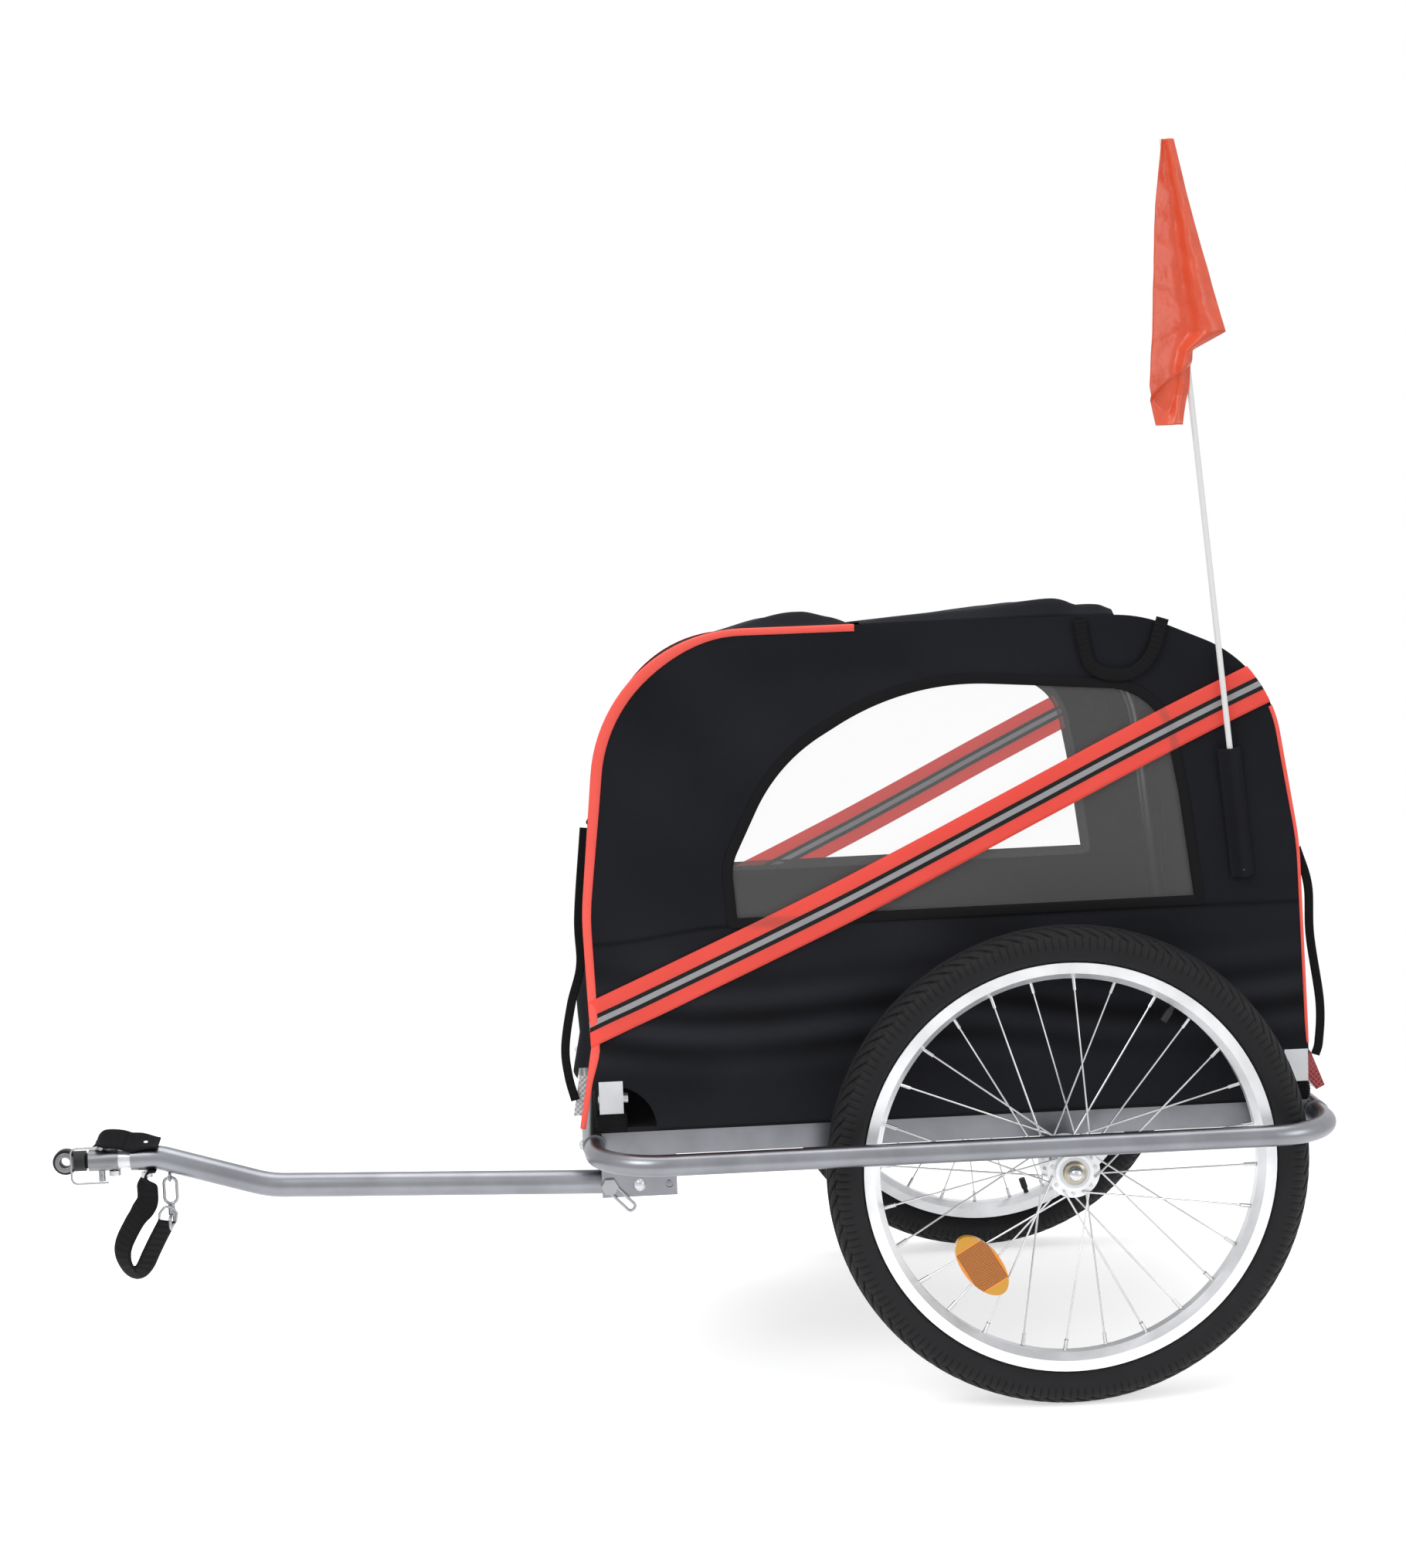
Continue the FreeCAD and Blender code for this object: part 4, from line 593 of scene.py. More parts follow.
def panel_outline():
    """The cabin's outline with an arch cut round each hinge, closed along the hem."""
    front, rear = np.array([hinge_front, hem_z]), np.array([hinge_rear, hem_z])
    inside = cabin_line[:, 1] > hem_z + arch_foot
    for hinge in (front, rear):
        inside &= np.linalg.norm(cabin_line - hinge, axis=1) > arch_r
    edge = cabin_line[inside]

    def arch(middle, start, end):
        """An arc round a hinge, between the directions of two points."""
        first, last = (math.atan2(*(p - middle)[::-1]) for p in (start, end))
        angles = np.linspace(first, last, 60)
        return middle + arch_r * np.stack([np.cos(angles), np.sin(angles)], 1)

    rear_arch = arch(rear, edge[-1], rear + [-arch_r, 1e-6])[1:]
    rear_arch[:, 1] = np.maximum(rear_arch[:, 1], hem_z)
    front_arch = arch(front, front + [arch_r, 1e-6], edge[0])
    return resample(np.concatenate([edge, rear_arch, front_arch, edge[:1]]), 4000)


def seen_from_middle(line, angles):
    """Where rays from the window's middle meet a closed line."""
    away = line - window_middle
    own = np.arctan2(away[:, 1], away[:, 0])
    reach = np.interp(angles, own, np.linalg.norm(away, axis=1), period=2 * math.pi)
    return window_middle + reach[:, None] * np.stack([np.cos(angles), np.sin(angles)], 1)


def fold_flat(piece):
    """Gives a piece of cabin cloth a mesh of its own."""
    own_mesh(piece)


print("panel outline", round(run_along(panel_outline())[-1]))

# %% [markdown]
# ## Cloth is never quite flat
# The side cloth is stretched from the hoop to the hem, and bunches a little above the hem. A
# cloth simulation would give such waves, but each part would get its own. So one function
# says how far the side cloth stands out at any point. The panel and its stripe both use it,
# so they stay on one another.


# %% Waves in the cloth
def cloth_out(x, z):
    """Stand-off of the side cloth: sine waves, held along the hoop and the hem."""
    roof_z = 811
    pull = ease(0, 90, z - hem_z) * ease(0, 60, roof_z - z)
    waves = (0.9 * np.sin(x / 47 + z / 83) + 0.7 * np.sin(z / 38 - x / 120 + 1.3)
             + 0.5 * np.sin(x / 23 + z / 31))
    hem = 1.5 * np.exp(-((z - 430) / 70) ** 2) * np.sin(x / 34 + 0.6)
    creases = (0.9 * np.exp(-((z - 405) / 45) ** 2)
               * np.sin(z / 6.5 + 1.6 * np.sin(x / 75) + x / 160))
    return pull * (0.8 * waves + hem + creases)


def seam_depth(x, z):
    """A shallow groove where the lower side cloth is sewn to the upper."""
    seam_z = 493 + 13 * ease(-471, -338, x)
    return 0.8 * np.exp(-((z - seam_z) / 2.2) ** 2)


def painted_crease_light_and_seam(x, z, step=2.0):
    """Painted light and painted shade of a crease, by its tilt to the light from above, from -1 to
    1. A seam is dark.
    """
    tilt = (cloth_out(x, z - step) - cloth_out(x, z + step)) / (2 * step)
    return np.clip(tilt * 6, -1, 1) - seam_depth(x, z)


def side_panel(name, side):
    """The ring between the window and the outline: rays by shares of the way outward."""
    angles = np.linspace(-math.pi, math.pi, 900, endpoint=False)
    outer = seen_from_middle(panel_outline(), angles)
    inner = seen_from_middle(window_line, angles)
    share = np.linspace(0, 1, 74)[None, :, None]
    flat = inner[:, None] + (outer - inner)[:, None] * share
    x, z = flat[..., 0], flat[..., 1]
    width = np.linalg.norm(outer - inner, axis=1)[:, None]
    rim = ease(0, 25, share[..., 0] * width) * ease(6, 45, (1 - share[..., 0]) * width)
    y = panel_out + rim * (cloth_out(x, z) - seam_depth(x, z))
    grid = with_y(at_side(flat, (side + 1) / 2), side * y)
    # Painted light and painted shade: each crease's tilt to the light above, with a darker seam
    fold = painted_crease_light_and_seam(x, z)
    if side < 0:
        grid, fold = grid[::-1], fold[::-1]
    piece = add_cloth(name + "_panel_cloth", grid, cloth_t, "frame", BLACK,
                      [name + "_side_panel"], {"fold": fold}, wrap_u=True)
    fold_flat(piece)
    return piece


sides = (("left", -1), ("right", 1))
for name, side in sides:
    panel = side_panel(name, side)
    print(panel.name, len(panel.data.polygons))

# %% [markdown]
# ## Windows, bindings, stripes and piping
# The window is clear film sewn behind the panel, with a rounded tape round its edge. A band of
# coral, black and grey tape crosses both on the outside, and coral piping covers the seams at
# the front and rear. All are grids on the same lines as the panel, because a picture of them
# on the panel would have no thickness where the light grazes it.


# %% Windows and bindings
def window_film(name, side):
    """A film from the window's middle out to a little past its edge, with a slight swell."""
    lap, behind, swell, rings = 6, 0.25, 0.8, 30
    line = resample(window_line, 200)[:-1]
    edge = line - side_ways(line, closed=True) * lap
    share = np.linspace(0.02, 1, rings)[None, :, None]
    flat = window_middle + (edge - window_middle)[:, None] * share
    y = sheet_half - behind + swell * (1 - share[..., 0] ** 2) * np.sin(flat[..., 0] / 60)
    grid = with_y(at_side(flat, (side + 1) / 2), side * np.minimum(y, sheet_half))
    middle = with_y(at_side(window_middle, (side + 1) / 2), side * (sheet_half - behind))
    verts = np.concatenate([grid.reshape(-1, 3), middle[None]])
    count = len(line)
    spin = np.arange(count)
    hub = np.stack([spin * rings, (spin + 1) % count * rings, np.full(count, count * rings)], 1)
    faces = np.array(grid_faces(count, rings, wrap_u=True).tolist() + hub.tolist(), object)
    fold_flat(add_piece(name + "_window_film", verts, faces, "frame", FILM,
                        [name + "_window"]))


def window_binding(name, side):
    """A tape round the window's edge, with a half-round section."""
    half, lift, crown = 5.5, 0.4, 1.1
    line = resample(window_line, 700)[:-1]
    across = np.linspace(-1, 1, 9)
    flat = line[:, None] - side_ways(line, closed=True)[:, None] * (across * half)[None, :, None]
    rise = lift + crown * np.sqrt(np.maximum(0, 1 - across**2))
    grid = with_y(at_side(flat, (side + 1) / 2), side * (panel_out + rise[None]))
    piece = add_cloth(name + "_window_binding", grid, 0.4, "frame", WEBBING,
                      values={"along": np.zeros(grid.shape[:2])}, wrap_u=True)
    fold_flat(piece)
    return piece


for name, side in sides:
    window_film(name, side)
    window_binding(name, side)
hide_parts("window_bindings")


# %% Stripes
def stripe(name, side):
    """A straight band with a slight sway, each of its lines cut off by the cabin's outline."""
    width, sway_by, lift, tape_t = 44, 3.5, 1.6, 0.9
    start, end = (np.array(p) for p in on_cabin([(-0.02, 0.197), (0.97, 0.868)]))
    along = unit(end - start)
    right = np.array([along[1], -along[0]])
    across = np.linspace(0, 1, 13)
    rows = start + right * ((across - 0.5) * width)[:, None]
    reach = np.linspace(0, np.linalg.norm(end - start), 2400)
    away = rows[:, None] + along * reach[None, :, None] - window_middle
    outline = resample(np.concatenate([cabin_line, cabin_line[:1]]), 4000)
    edge = seen_from_middle(outline, np.arctan2(away[..., 1], away[..., 0]).ravel()) - window_middle
    inside = np.linalg.norm(away, axis=-1) < np.linalg.norm(edge, axis=-1).reshape(away.shape[:2])
    first = reach[inside.argmax(1)]
    last = reach[len(reach) - 1 - inside[:, ::-1].argmax(1)]
    t = np.linspace(0, 1, 260)
    at = first[:, None] + (last - first)[:, None] * t
    sway = sway_by * np.sin((at / reach[-1] - 0.12) * 2 * math.pi)
    flat = rows[:, None] + along * at[..., None] + right * sway[..., None]
    y = panel_out + lift + cloth_out(flat[..., 0], flat[..., 1]) * 0.8
    grid = with_y(at_side(flat, (side + 1) / 2), side * y)
    piece = add_cloth(name + "_stripe", grid[:, ::side], tape_t, "frame", STRIPE,
                      values={"across": np.repeat(across[:, None], len(t), 1)})
    fold_flat(piece)
    return piece


stripes = [stripe(name, side) for name, side in sides]
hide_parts("reflective_stripes")
print("stripes", [len(piece.data.polygons) for piece in stripes])


# %% Piping
def piping(name, side, line, profile):
    """A tape folded over the edge: profile gives (inset, stand-off) pairs across it."""
    inset, stand = np.array(profile, float).T
    x, z = line.T
    slim = (0.42 + 0.22 * ease(345, 380, z) + 0.16 * ease(520, 680, z)
            - 0.3 * ease(-420, -330, x) * (x < 0))
    flat = line[:, None] + side_ways(line)[:, None] * (slim[:, None] * inset[None])[..., None]
    grid = with_y(at_side(flat, (side + 1) / 2), side * (panel_out + stand[None]))
    piece = add_cloth(name, grid, 0.6, "frame", CORAL)
    fold_flat(piece)
    return piece


front_end_x, front_foot_z = -199, 302
rear_from_x, rear_top_z, rear_foot_z = 200, 712, 356
front_edge = cabin_line[(cabin_line[:, 0] < front_end_x) & (cabin_line[:, 1] > front_foot_z)]
rear_edge = cabin_line[(cabin_line[:, 0] > rear_from_x) & (cabin_line[:, 1] < rear_top_z)
                       & (cabin_line[:, 1] > rear_foot_z)]
front_profile = [(13, 0.3), (12, 1.2), (6, 1.6), (1, 1.6), (-0.8, 0.6), (-1.2, -2), (-1.2, -8)]
rear_profile = [(4.5, 0.3), (4, 1.2), (2, 1.5), (0.5, 1.4), (-0.8, 0.5), (-1.2, -2), (-1.2, -9)]
door_side_profile = front_profile[:-2] + [(-1.2, -1.1)]
for name, side in sides:
    profile = front_profile if side < 0 else door_side_profile
    piping(name + "_front_piping", side, resample(front_edge, 260), profile)
    piping(name + "_rear_piping", side, resample(rear_edge, 140), rear_profile)
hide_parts("edge_piping")

# %% [markdown]
# ## Roof, rear panel and front door
# Each is one sheet of cloth along a stretch of the outline, from hoop to hoop. It is tight at
# the hoops and sags a little between them, or swells where the real cloth stands out. A plane
# with a few loop cuts would do for the shape, but not for its flat size, which is measured on
# the grid. The door is sewn along its top edge, over a cord, so it rides on its own body.


def end_sheet(name, line, sag, node, body="frame", foot_inset=0.0,
              swell=0.0, swell_from=0.45):
    """A sheet along a line of the side view, from side to side; its foot may be narrower.

    The sag is a parabola across, with waves on it. The swell is how far the sheet stands out
    at each point of the line, away from its two edges.
    """
    foot_z, foot_top_z, swell_rise = 352, 360, 0.17
    half = sheet_half - foot_inset * (1 - ease(foot_z, foot_top_z, line[:, 1]))
    y = half[:, None] * np.linspace(-1, 1, 110)[None]
    arch = 1 - (y[0] / half[0]) ** 2
    run = np.linspace(0, 1, len(line))
    hold = ease(0, 0.08, run) * ease(0, 0.08, 1 - run)
    waves = 1.2 * np.sin(y / 41 + run[:, None] * 9) + 0.9 * np.sin(run[:, None] * 23 - y / 73)
    inset = hold[:, None] * sag * (arch[None] + waves / 5 * np.minimum(arch * 3, 1)[None])
    bulge = ease(swell_from, swell_from + swell_rise, arch)[None]
    inset -= np.broadcast_to(swell, len(line))[:, None] * bulge
    flat = at_side(line[:, None] + side_ways(line)[:, None] * inset[..., None], across_at(y))
    grid = with_y(flat, y)
    piece = add_cloth(name, grid, cloth_t, body, BLACK, [node])
    return piece


split_front, split_rear = hem_z + 0.627 * cabin_height, hem_z + 0.667 * cabin_height
cord_room, sewn_gap = 2.3, 0.3
line_x, line_z = cabin_line.T
front_half = line_x < 0
door_part = front_half & (line_z < split_front - cord_room) & (line_z > hem_z + hem_lift)
roof_line = cabin_line[np.where(front_half, line_z > split_front, line_z > split_rear)]
rear_line = cabin_line[~front_half & (line_z < split_rear - sewn_gap)]
door_line, roof_line = resample(cabin_line[door_part], 130), resample(roof_line, 260)
door_z, roof_x = door_line[:, 1], roof_line[:, 0]
door_swell = 19 * ease(318, 340, door_z) * (1 - ease(430, 560, door_z))
roof_swell = (16 * ease(-345, -258, roof_x) * (1 - 0.45 * ease(-252, -215, roof_x))
              * (1 - ease(-222, -193, roof_x)))
roof = end_sheet("roof_cloth", roof_line, 1.2, "roof_panel", swell=roof_swell, swell_from=0.05)
rear = end_sheet("rear_cloth", resample(rear_line, 130), 4, "rear_panel", foot_inset=30)
door = end_sheet("door_cloth", door_line, 4, "front_door", "front_door",
                 swell=door_swell)


# %% Hem cord of the door
def door_hem_cord():
    """A tube across the door's top edge: a circle carried from side to side."""
    cord_r, wall = 1.9, 0.8
    spin = np.linspace(0, 2 * math.pi, 16, endpoint=False)[:, None]
    y = np.linspace(-sheet_half, sheet_half, 60)
    middle = at_side(np.broadcast_to(door_line[-1] + [0.4, 2.2], (60, 2)), across_at(y))[None]
    circle = cord_r * np.stack([np.cos(spin), np.sin(spin)], -1)
    return add_cloth("door_hem_cord", with_y(middle + circle, y), wall, "front_door", BLACK,
                     wrap_u=True)


for sheet in (roof, rear, door, door_hem_cord()):
    fold_flat(sheet)
print("roof", len(roof.data.polygons))

# %% [markdown]
# ## Rain cover
# The rain cover is folded back on the roof: it lies flat in front and rises in soft folds at
# the rear. Only its top layer shows, so it is one sheet, with a height that goes by the place
# along the roof, smoothed, and that falls to the roof at both side edges.

# %% Rain cover
cover_half, cover_foot_z, edge_run, smooth_over = 225, 810.6, 14, 11
cover_x = np.linspace(-190, 76, 150)
cover_y = np.linspace(-cover_half, cover_half, 100)
fold_x, fold_h = np.transpose([(-190, 1.5), (-150, 5), (-61, 10.5), (5, 18), (22, 18.5), (40, 9),
                               (58, 11), (70, 9.5), (76, 2)])
cover_h = np.interp(cover_x, fold_x, fold_h)
cover_h = np.convolve(np.pad(cover_h, smooth_over // 2, mode="edge"),
                      np.ones(smooth_over) / smooth_over, "valid")
wave = 1 + 0.1 * np.sin(cover_y / 33)[None] * np.sin(cover_x / 50)[:, None]
edge_fall = ease(0, edge_run, cover_half - np.abs(cover_y))[None]
top = cover_foot_z + (cover_h[:, None] * wave + 0.8) * edge_fall
cover_flat = np.stack(np.broadcast_arrays(cover_x[:, None], top), -1)
cover_grid = with_y(at_side(cover_flat, across_at(cover_y)[None]), cover_y)
cover = add_cloth("rain_cover_cloth", cover_grid, -1.2, "frame", BLACK,
                  ["rain_cover"])
fold_flat(cover)

# %% [markdown]
# ## Tie straps, handle and pocket
# Straps are flat webbing. A curve with a flat bevel would make one too, but would turn its
# face by itself, so a strap is a line with its width laid across, and a twist that says how
# far its face is turned to the side. The ties hang in front and behind, the handle is a loop
# on the side, and the pocket is a sleeve that holds the flag's pole.


# %% Flat straps
def strap(name, line, y_middle, width, depth, body, nodes=(), bow=0.0, twist=0.0):
    """A flat strap along a line of the side view; twist turns its face towards the side."""
    across = np.linspace(-0.5, 0.5, 7)
    turn = np.broadcast_to(np.radians(twist), len(line))[:, None]
    crown = bow * (0.25 - across**2)
    lift = crown * np.cos(turn) + across * width * np.sin(turn)
    flat = line[:, None] + side_ways(line)[:, None] * lift[..., None]
    y = y_middle + across * width * np.cos(turn) - crown * np.sin(turn)
    run = run_along(line) * MM
    grid = with_y(flat, y)
    piece = add_cloth(name, grid, depth, body, WEBBING, nodes,
                      {"along": np.repeat(run[:, None], len(across), 1)})
    return piece


tie_y, tie_w, tie_t, edge_on = -234, 9, 1.5, 90
front_tie = [(-482.4, 612), (-492, 520), (-492, 469), (-503, 429), (-511, 384), (-509, 353),
             (-503, 327)]
rear_tie = [(261, 559), (272.5, 519), (274, 466), (283.5, 395), (282, 353), (278, 338)]
fold_flat(strap("front_tie", smooth_line(front_tie, 90), tie_y, tie_w, tie_t, "front_door",
                ["front_tie_strap"], twist=edge_on))
fold_flat(strap("rear_tie", smooth_line(rear_tie, 80), tie_y, tie_w, tie_t, "frame",
                ["rear_tie_strap"], twist=edge_on))
print("ties", round(run_along(smooth_line(front_tie, 90))[-1]), "mm in front")


# %% Handle and pocket
def handle():
    """A loop of webbing on the side, with a half-round section."""
    half, lift, crown, web_t = 6, 2.4, 1.2, 1.6
    line = smooth_line([(32, 807), (36, 782), (43, 760), (62, 750), (87, 752), (106, 770),
                        (118, 806)], 90)
    across = np.linspace(-1, 1, 7)
    flat = line[:, None] + side_ways(line)[:, None] * (across * half)[None, :, None]
    rise = crown * np.sqrt(np.maximum(0, 1 - across**2))[None]
    run = np.linspace(0, 0.2, len(line))
    grid = with_y(flat, -(panel_out + lift + rise))
    piece = add_cloth("roof_handle", grid, web_t, "frame", WEBBING,
                      values={"along": np.repeat(run[:, None], len(across), 1)})
    fold_flat(piece)
    return piece


pole_lean = math.radians(5.39)


def pocket():
    """A narrow sleeve of cloth, sewn flat at both long edges and round over the pole."""
    foot_x, foot_z, half, height, sewn_y = 197, 535, 12, 135, 259.6
    lean = -pole_lean
    across = np.linspace(-1, 1, 25)
    along = np.linspace(0, height, 50)
    hump = np.exp(-((across / 0.5) ** 2))
    rise = 7.6 * hump + 1.0
    x = foot_x + across[None] * half * math.cos(lean) + along[:, None] * math.sin(lean)
    z = foot_z - across[None] * half * math.sin(lean) + along[:, None] * math.cos(lean)
    y = -(sewn_y + rise[None] + 3.0 * hump[None] * ease(0, 30, along)[:, None])
    return add_cloth("pocket_cloth", np.stack([x, y, z], -1), 1.0, "flag_pocket", BLACK,
                     ["flag_pocket"])


print("handle", len(handle().data.polygons), "pocket", len(pocket().data.polygons))

# %% [markdown]
# ## The flag
# A limp pennant of orange vinyl hangs from the pole's top. Hanging it in a cloth simulation
# would give other folds on every run, so the folds are drawn: a few sections from top to
# bottom, each a zigzag of four points, with smooth lines through them. Near the foot the
# cloth is tucked back on a slant.

# %% Pennant
pole_top = np.array([126.6, -266.7, 1286.5])
pennant_h, pennant_w, pennant_depth, pole_gap = 285, 75, 16, 3.6
section_drops = np.array([0.0, 0.24, 0.5, 0.68, 0.74, 0.86, 1.0])
section_folds = np.array([
    [(-0.03, 0.15), (0.0, 0.0), (0.06, 0.25), (0.13, 0.1)],
    [(-0.15, 0.35), (0.086, 0.0), (0.2, 0.6), (0.33, 0.25)],
    [(-0.2, 0.5), (0.179, 0.0), (0.36, 0.85), (0.59, 0.35)],
    [(-0.23, 0.55), (0.243, 0.0), (0.5, 1.0), (0.77, 0.5)],
    [(-0.25, 0.6), (0.1, 0.1), (0.22, 0.8), (0.32, 0.5)],
    [(-0.28, 0.6), (0.0, 0.15), (0.16, 0.8), (0.29, 0.4)],
    [(-0.2, 0.5), (-0.05, 0.3), (0.06, 0.6), (0.17, 0.4)]])
drops = np.linspace(0, 1, 160)
rows = np.stack([[np.interp(drops, section_drops, section_folds[:, i, k]) for k in (0, 1)]
                 for i in range(4)]).transpose(2, 0, 1)
rows = np.concatenate([2 * rows[:, :1] - rows[:, 1:2], rows, 2 * rows[:, -1:] - rows[:, -2:-1]], 1)
t = np.linspace(0, 3, 61)
base = np.minimum(t.astype(int), 2)
folds = catmull_rom(*(rows[:, base + i] for i in range(4)), (t - base)[None, :, None])
drop = drops[:, None]
crumple = 0.03 * np.sin(drop * 31 + t[None] * 2.1) + 0.02 * np.sin(drop * 57 - t[None] * 4)
tuck_line = 0.68 + 0.21 * (0.77 - folds[..., 0])
tuck = 0.55 * np.clip((drop - tuck_line) / 0.02, 0, 1) * np.clip((1.0 - drop) / 0.1, 0, 1)
depth = np.clip(folds[..., 1] - tuck + crumple * ease(0, 0.2, drop), 0.0, 1.05)
flag_flat = np.stack(np.broadcast_arrays(
    pole_top[0] + folds[..., 0] * pennant_w, pole_top[2] - drop * pennant_h), -1)
flag_grid = with_y(flag_flat, pole_top[1] - pole_gap - depth * pennant_depth)
pennant = add_cloth("pennant", flag_grid, 0.8, "flag", VINYL, ["flag_pennant"])

# %% [markdown]
# ## The safety strap
# A loop of webbing is bolted under the drawbar's nose and hangs to the snap hook, on a wire
# ring, and a second piece is laid over the top of the hitch. Both are straps as above, with a
# twist that changes along them.

# %% Safety strap
drawbar_y, strap_w, over_shift, nose_x, loop_top_z = -236, 25, 2, -934, 276
loop = [(-938, 274.7), (-944, 274.4), (-948.6, 269), (-948, 255), (-949.2, 241.5), (-957.6, 229.6),
        (-966.3, 216.4), (-975.2, 199), (-976.8, 185.6), (-972.2, 173), (-964.6, 167.9),
        (-956.8, 174), (-949.4, 188), (-941.4, 203), (-930.8, 221.4)]
loop_run = np.linspace(0, 1, 140)
loop_twist = (62 * ease(0.05, 0.13, loop_run) - 14 * ease(0.25, 0.32, loop_run)
              - 8 * ease(0.5, 0.62, loop_run))
hanging = strap("strap_loop", smooth_line(loop, 140), drawbar_y, strap_w, 2.0, "drawbar",
                ["safety_strap"], twist=loop_twist)
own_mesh(hanging)
over = [(-999, 305), (-992, 309), (-983, 310), (-972, 308.6), (-963, 305.6), (-952, 305.8),
        (-943, 304.6), (nose_x, 303)]
over_run = np.linspace(0, 1, 60)
over_twist = 38 * ease(0, 0.2, over_run) * (1 - 0.7 * ease(0.55, 1, over_run))
laid = strap("strap_over", smooth_line(over, 60)[::-1], drawbar_y - over_shift, strap_w, 1.8,
             "drawbar", bow=-4.0, twist=over_twist[::-1])
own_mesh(laid)


# %% Ring and hitch eye
def wire(name, line, y, radius, body, material, around=12):
    """A round wire along an open line of the side view: a circle carried along it."""
    spin = np.linspace(0, 2 * math.pi, around, endpoint=False)[None]
    flat = line[:, None] + side_ways(line)[:, None] * (radius * np.cos(spin))[..., None]
    grid = with_y(flat, y + radius * np.sin(spin))
    caps = [np.arange(around)[::-1] + k * around for k in (0, len(line) - 1)]
    faces = grid_faces(len(line), around, wrap_v=True).tolist() + [cap.tolist() for cap in caps]
    return add_piece(name, grid.reshape(-1, 3), np.array(faces, object), body, material)


def turned(name, section, x, z, count, body, material):
    """A section of (radius, y) pairs turned about a line along y.

    A section that ends on its first point keeps a sharp edge there.
    """
    spin = np.linspace(0, 2 * math.pi, count, endpoint=False)[:, None]
    radius, y = np.array(section, float).T
    flat = np.stack([x + radius * np.cos(spin), z + radius * np.sin(spin)], -1)
    faces = grid_faces(count, len(section), wrap_u=True, wrap_v=section[0] != section[-1])
    return add_piece(name, with_y(flat, y).reshape(-1, 3), faces, body, material)


ring_y, ring_wire_r, eye_x = -243, 1.3, -1030
eye_z = joints["hitch_yaw"]["pos_m"][2] / MM
ring_line = rounded([(-937.8, 221.5), (-936.7, 231), (-931, 237.6), (-923.7, 237.2), (-918.8, 230),
                     (-920.5, 221)], [3, 3, 3, 3], 8)
ring = wire("strap_ring", resample(ring_line, 70), ring_y, ring_wire_r, "drawbar", STEEL)
eye_section = [(5.5, -242.0), (5.5, -242.5), (6.2, -242.8), (9.6, -242.8), (10.3, -242.5),
               (10.3, -242.0)]
eye = turned("hitch_eye_face", eye_section, eye_x, eye_z, 72, "hitch_head", DARK)
print("ring", len(ring.data.polygons), "eye", len(eye.data.polygons))

# %% [markdown]
# ## Tyres with tread
# A bicycle tyre has blocks on its crown and ribs on its shoulders. An image would give the
# colour of a tread but a smooth edge, and the edge is what shows here. So the casing is turned
# about the axle, with a closed line as its section, and the tread is cut by lowering points on
# the outside where the groove pattern says so.


# %% Tyre section and tread
def arc3(a, b, c, count):
    """Points on the circle through three points, from a to c by way of b."""
    (ax, ay), (bx, by), (cx, cy) = a, b, c
    sq_a, sq_b, sq_c = ax**2 + ay**2, bx**2 + by**2, cx**2 + cy**2
    d = 2 * (ax * (by - cy) + bx * (cy - ay) + cx * (ay - by))
    ux = (sq_a * (by - cy) + sq_b * (cy - ay) + sq_c * (ay - by)) / d
    uy = (sq_a * (cx - bx) + sq_b * (ax - cx) + sq_c * (bx - ax)) / d
    angles = np.unwrap([math.atan2(p[1] - uy, p[0] - ux) for p in (a, b, c)])
    run = np.interp(np.linspace(0, 1, count), [0, 0.5, 1], angles)
    r = math.hypot(ax - ux, ay - uy)
    return np.array([ux, uy]) + r * np.stack([np.cos(run), np.sin(run)], 1)


wheel_y, wheel_z, tyre_mid_r = -left_wheel_y / MM, axle_z / MM, 229
wall_points, crown_points = 26, 45


def tyre_section():
    """The casing's closed section as (radius, y) pairs: the outside first, then the inside."""
    foot, bulge, shoulder, crown = (213.4, 13.1), (tyre_mid_r, 23.5), (243, 16), (250, 0)

    def far(p):
        """The same point on the other side of the tyre's middle plane."""
        return p[0], -p[1]

    outer = [arc3(far(foot), far(bulge), far(shoulder), wall_points),
             arc3(far(shoulder), crown, shoulder, crown_points),
             arc3(shoulder, bulge, foot, wall_points), [(204.6, 13.1)]]
    inner = [(204.6, 9.1), (213.4, 9.1), (tyre_mid_r, 20.5), (240, 13), (247, 0), (240, -13),
             (tyre_mid_r, -20.5), (213.4, -9.1), (204.6, -9.1), (204.6, -13.1)]
    return np.concatenate(outer + [inner])


def tread_depth(angle, y, r):
    """Depth of the grooves in millimetres: blocks on the crown, ribs on the shoulder."""
    blocks, block_depth, rib_depth = 96, 2.6, 1.1
    pitch = angle * blocks / (2 * math.pi)
    crown = ease(238, 244, r)
    ring = np.exp(-((np.abs(y) - 5.5) / 0.9) ** 2)
    wedge = np.abs((pitch + np.abs(y) / 9) % 1 - 0.5)
    cross = ease(0.36, 0.46, wedge) * (np.abs(y) > 6)
    middle = ease(0.4, 0.47, np.abs((pitch * 0.5 + y / 14) % 1 - 0.5)) * (np.abs(y) <= 5)
    side = ease(0.38, 0.48, np.abs((pitch * 2) % 1 - 0.5)) * ease(226, 232, r) * (1 - crown)
    return block_depth * crown * np.clip(ring + cross + middle, 0, 1) + rib_depth * side


print("tyre section points", len(tyre_section()))


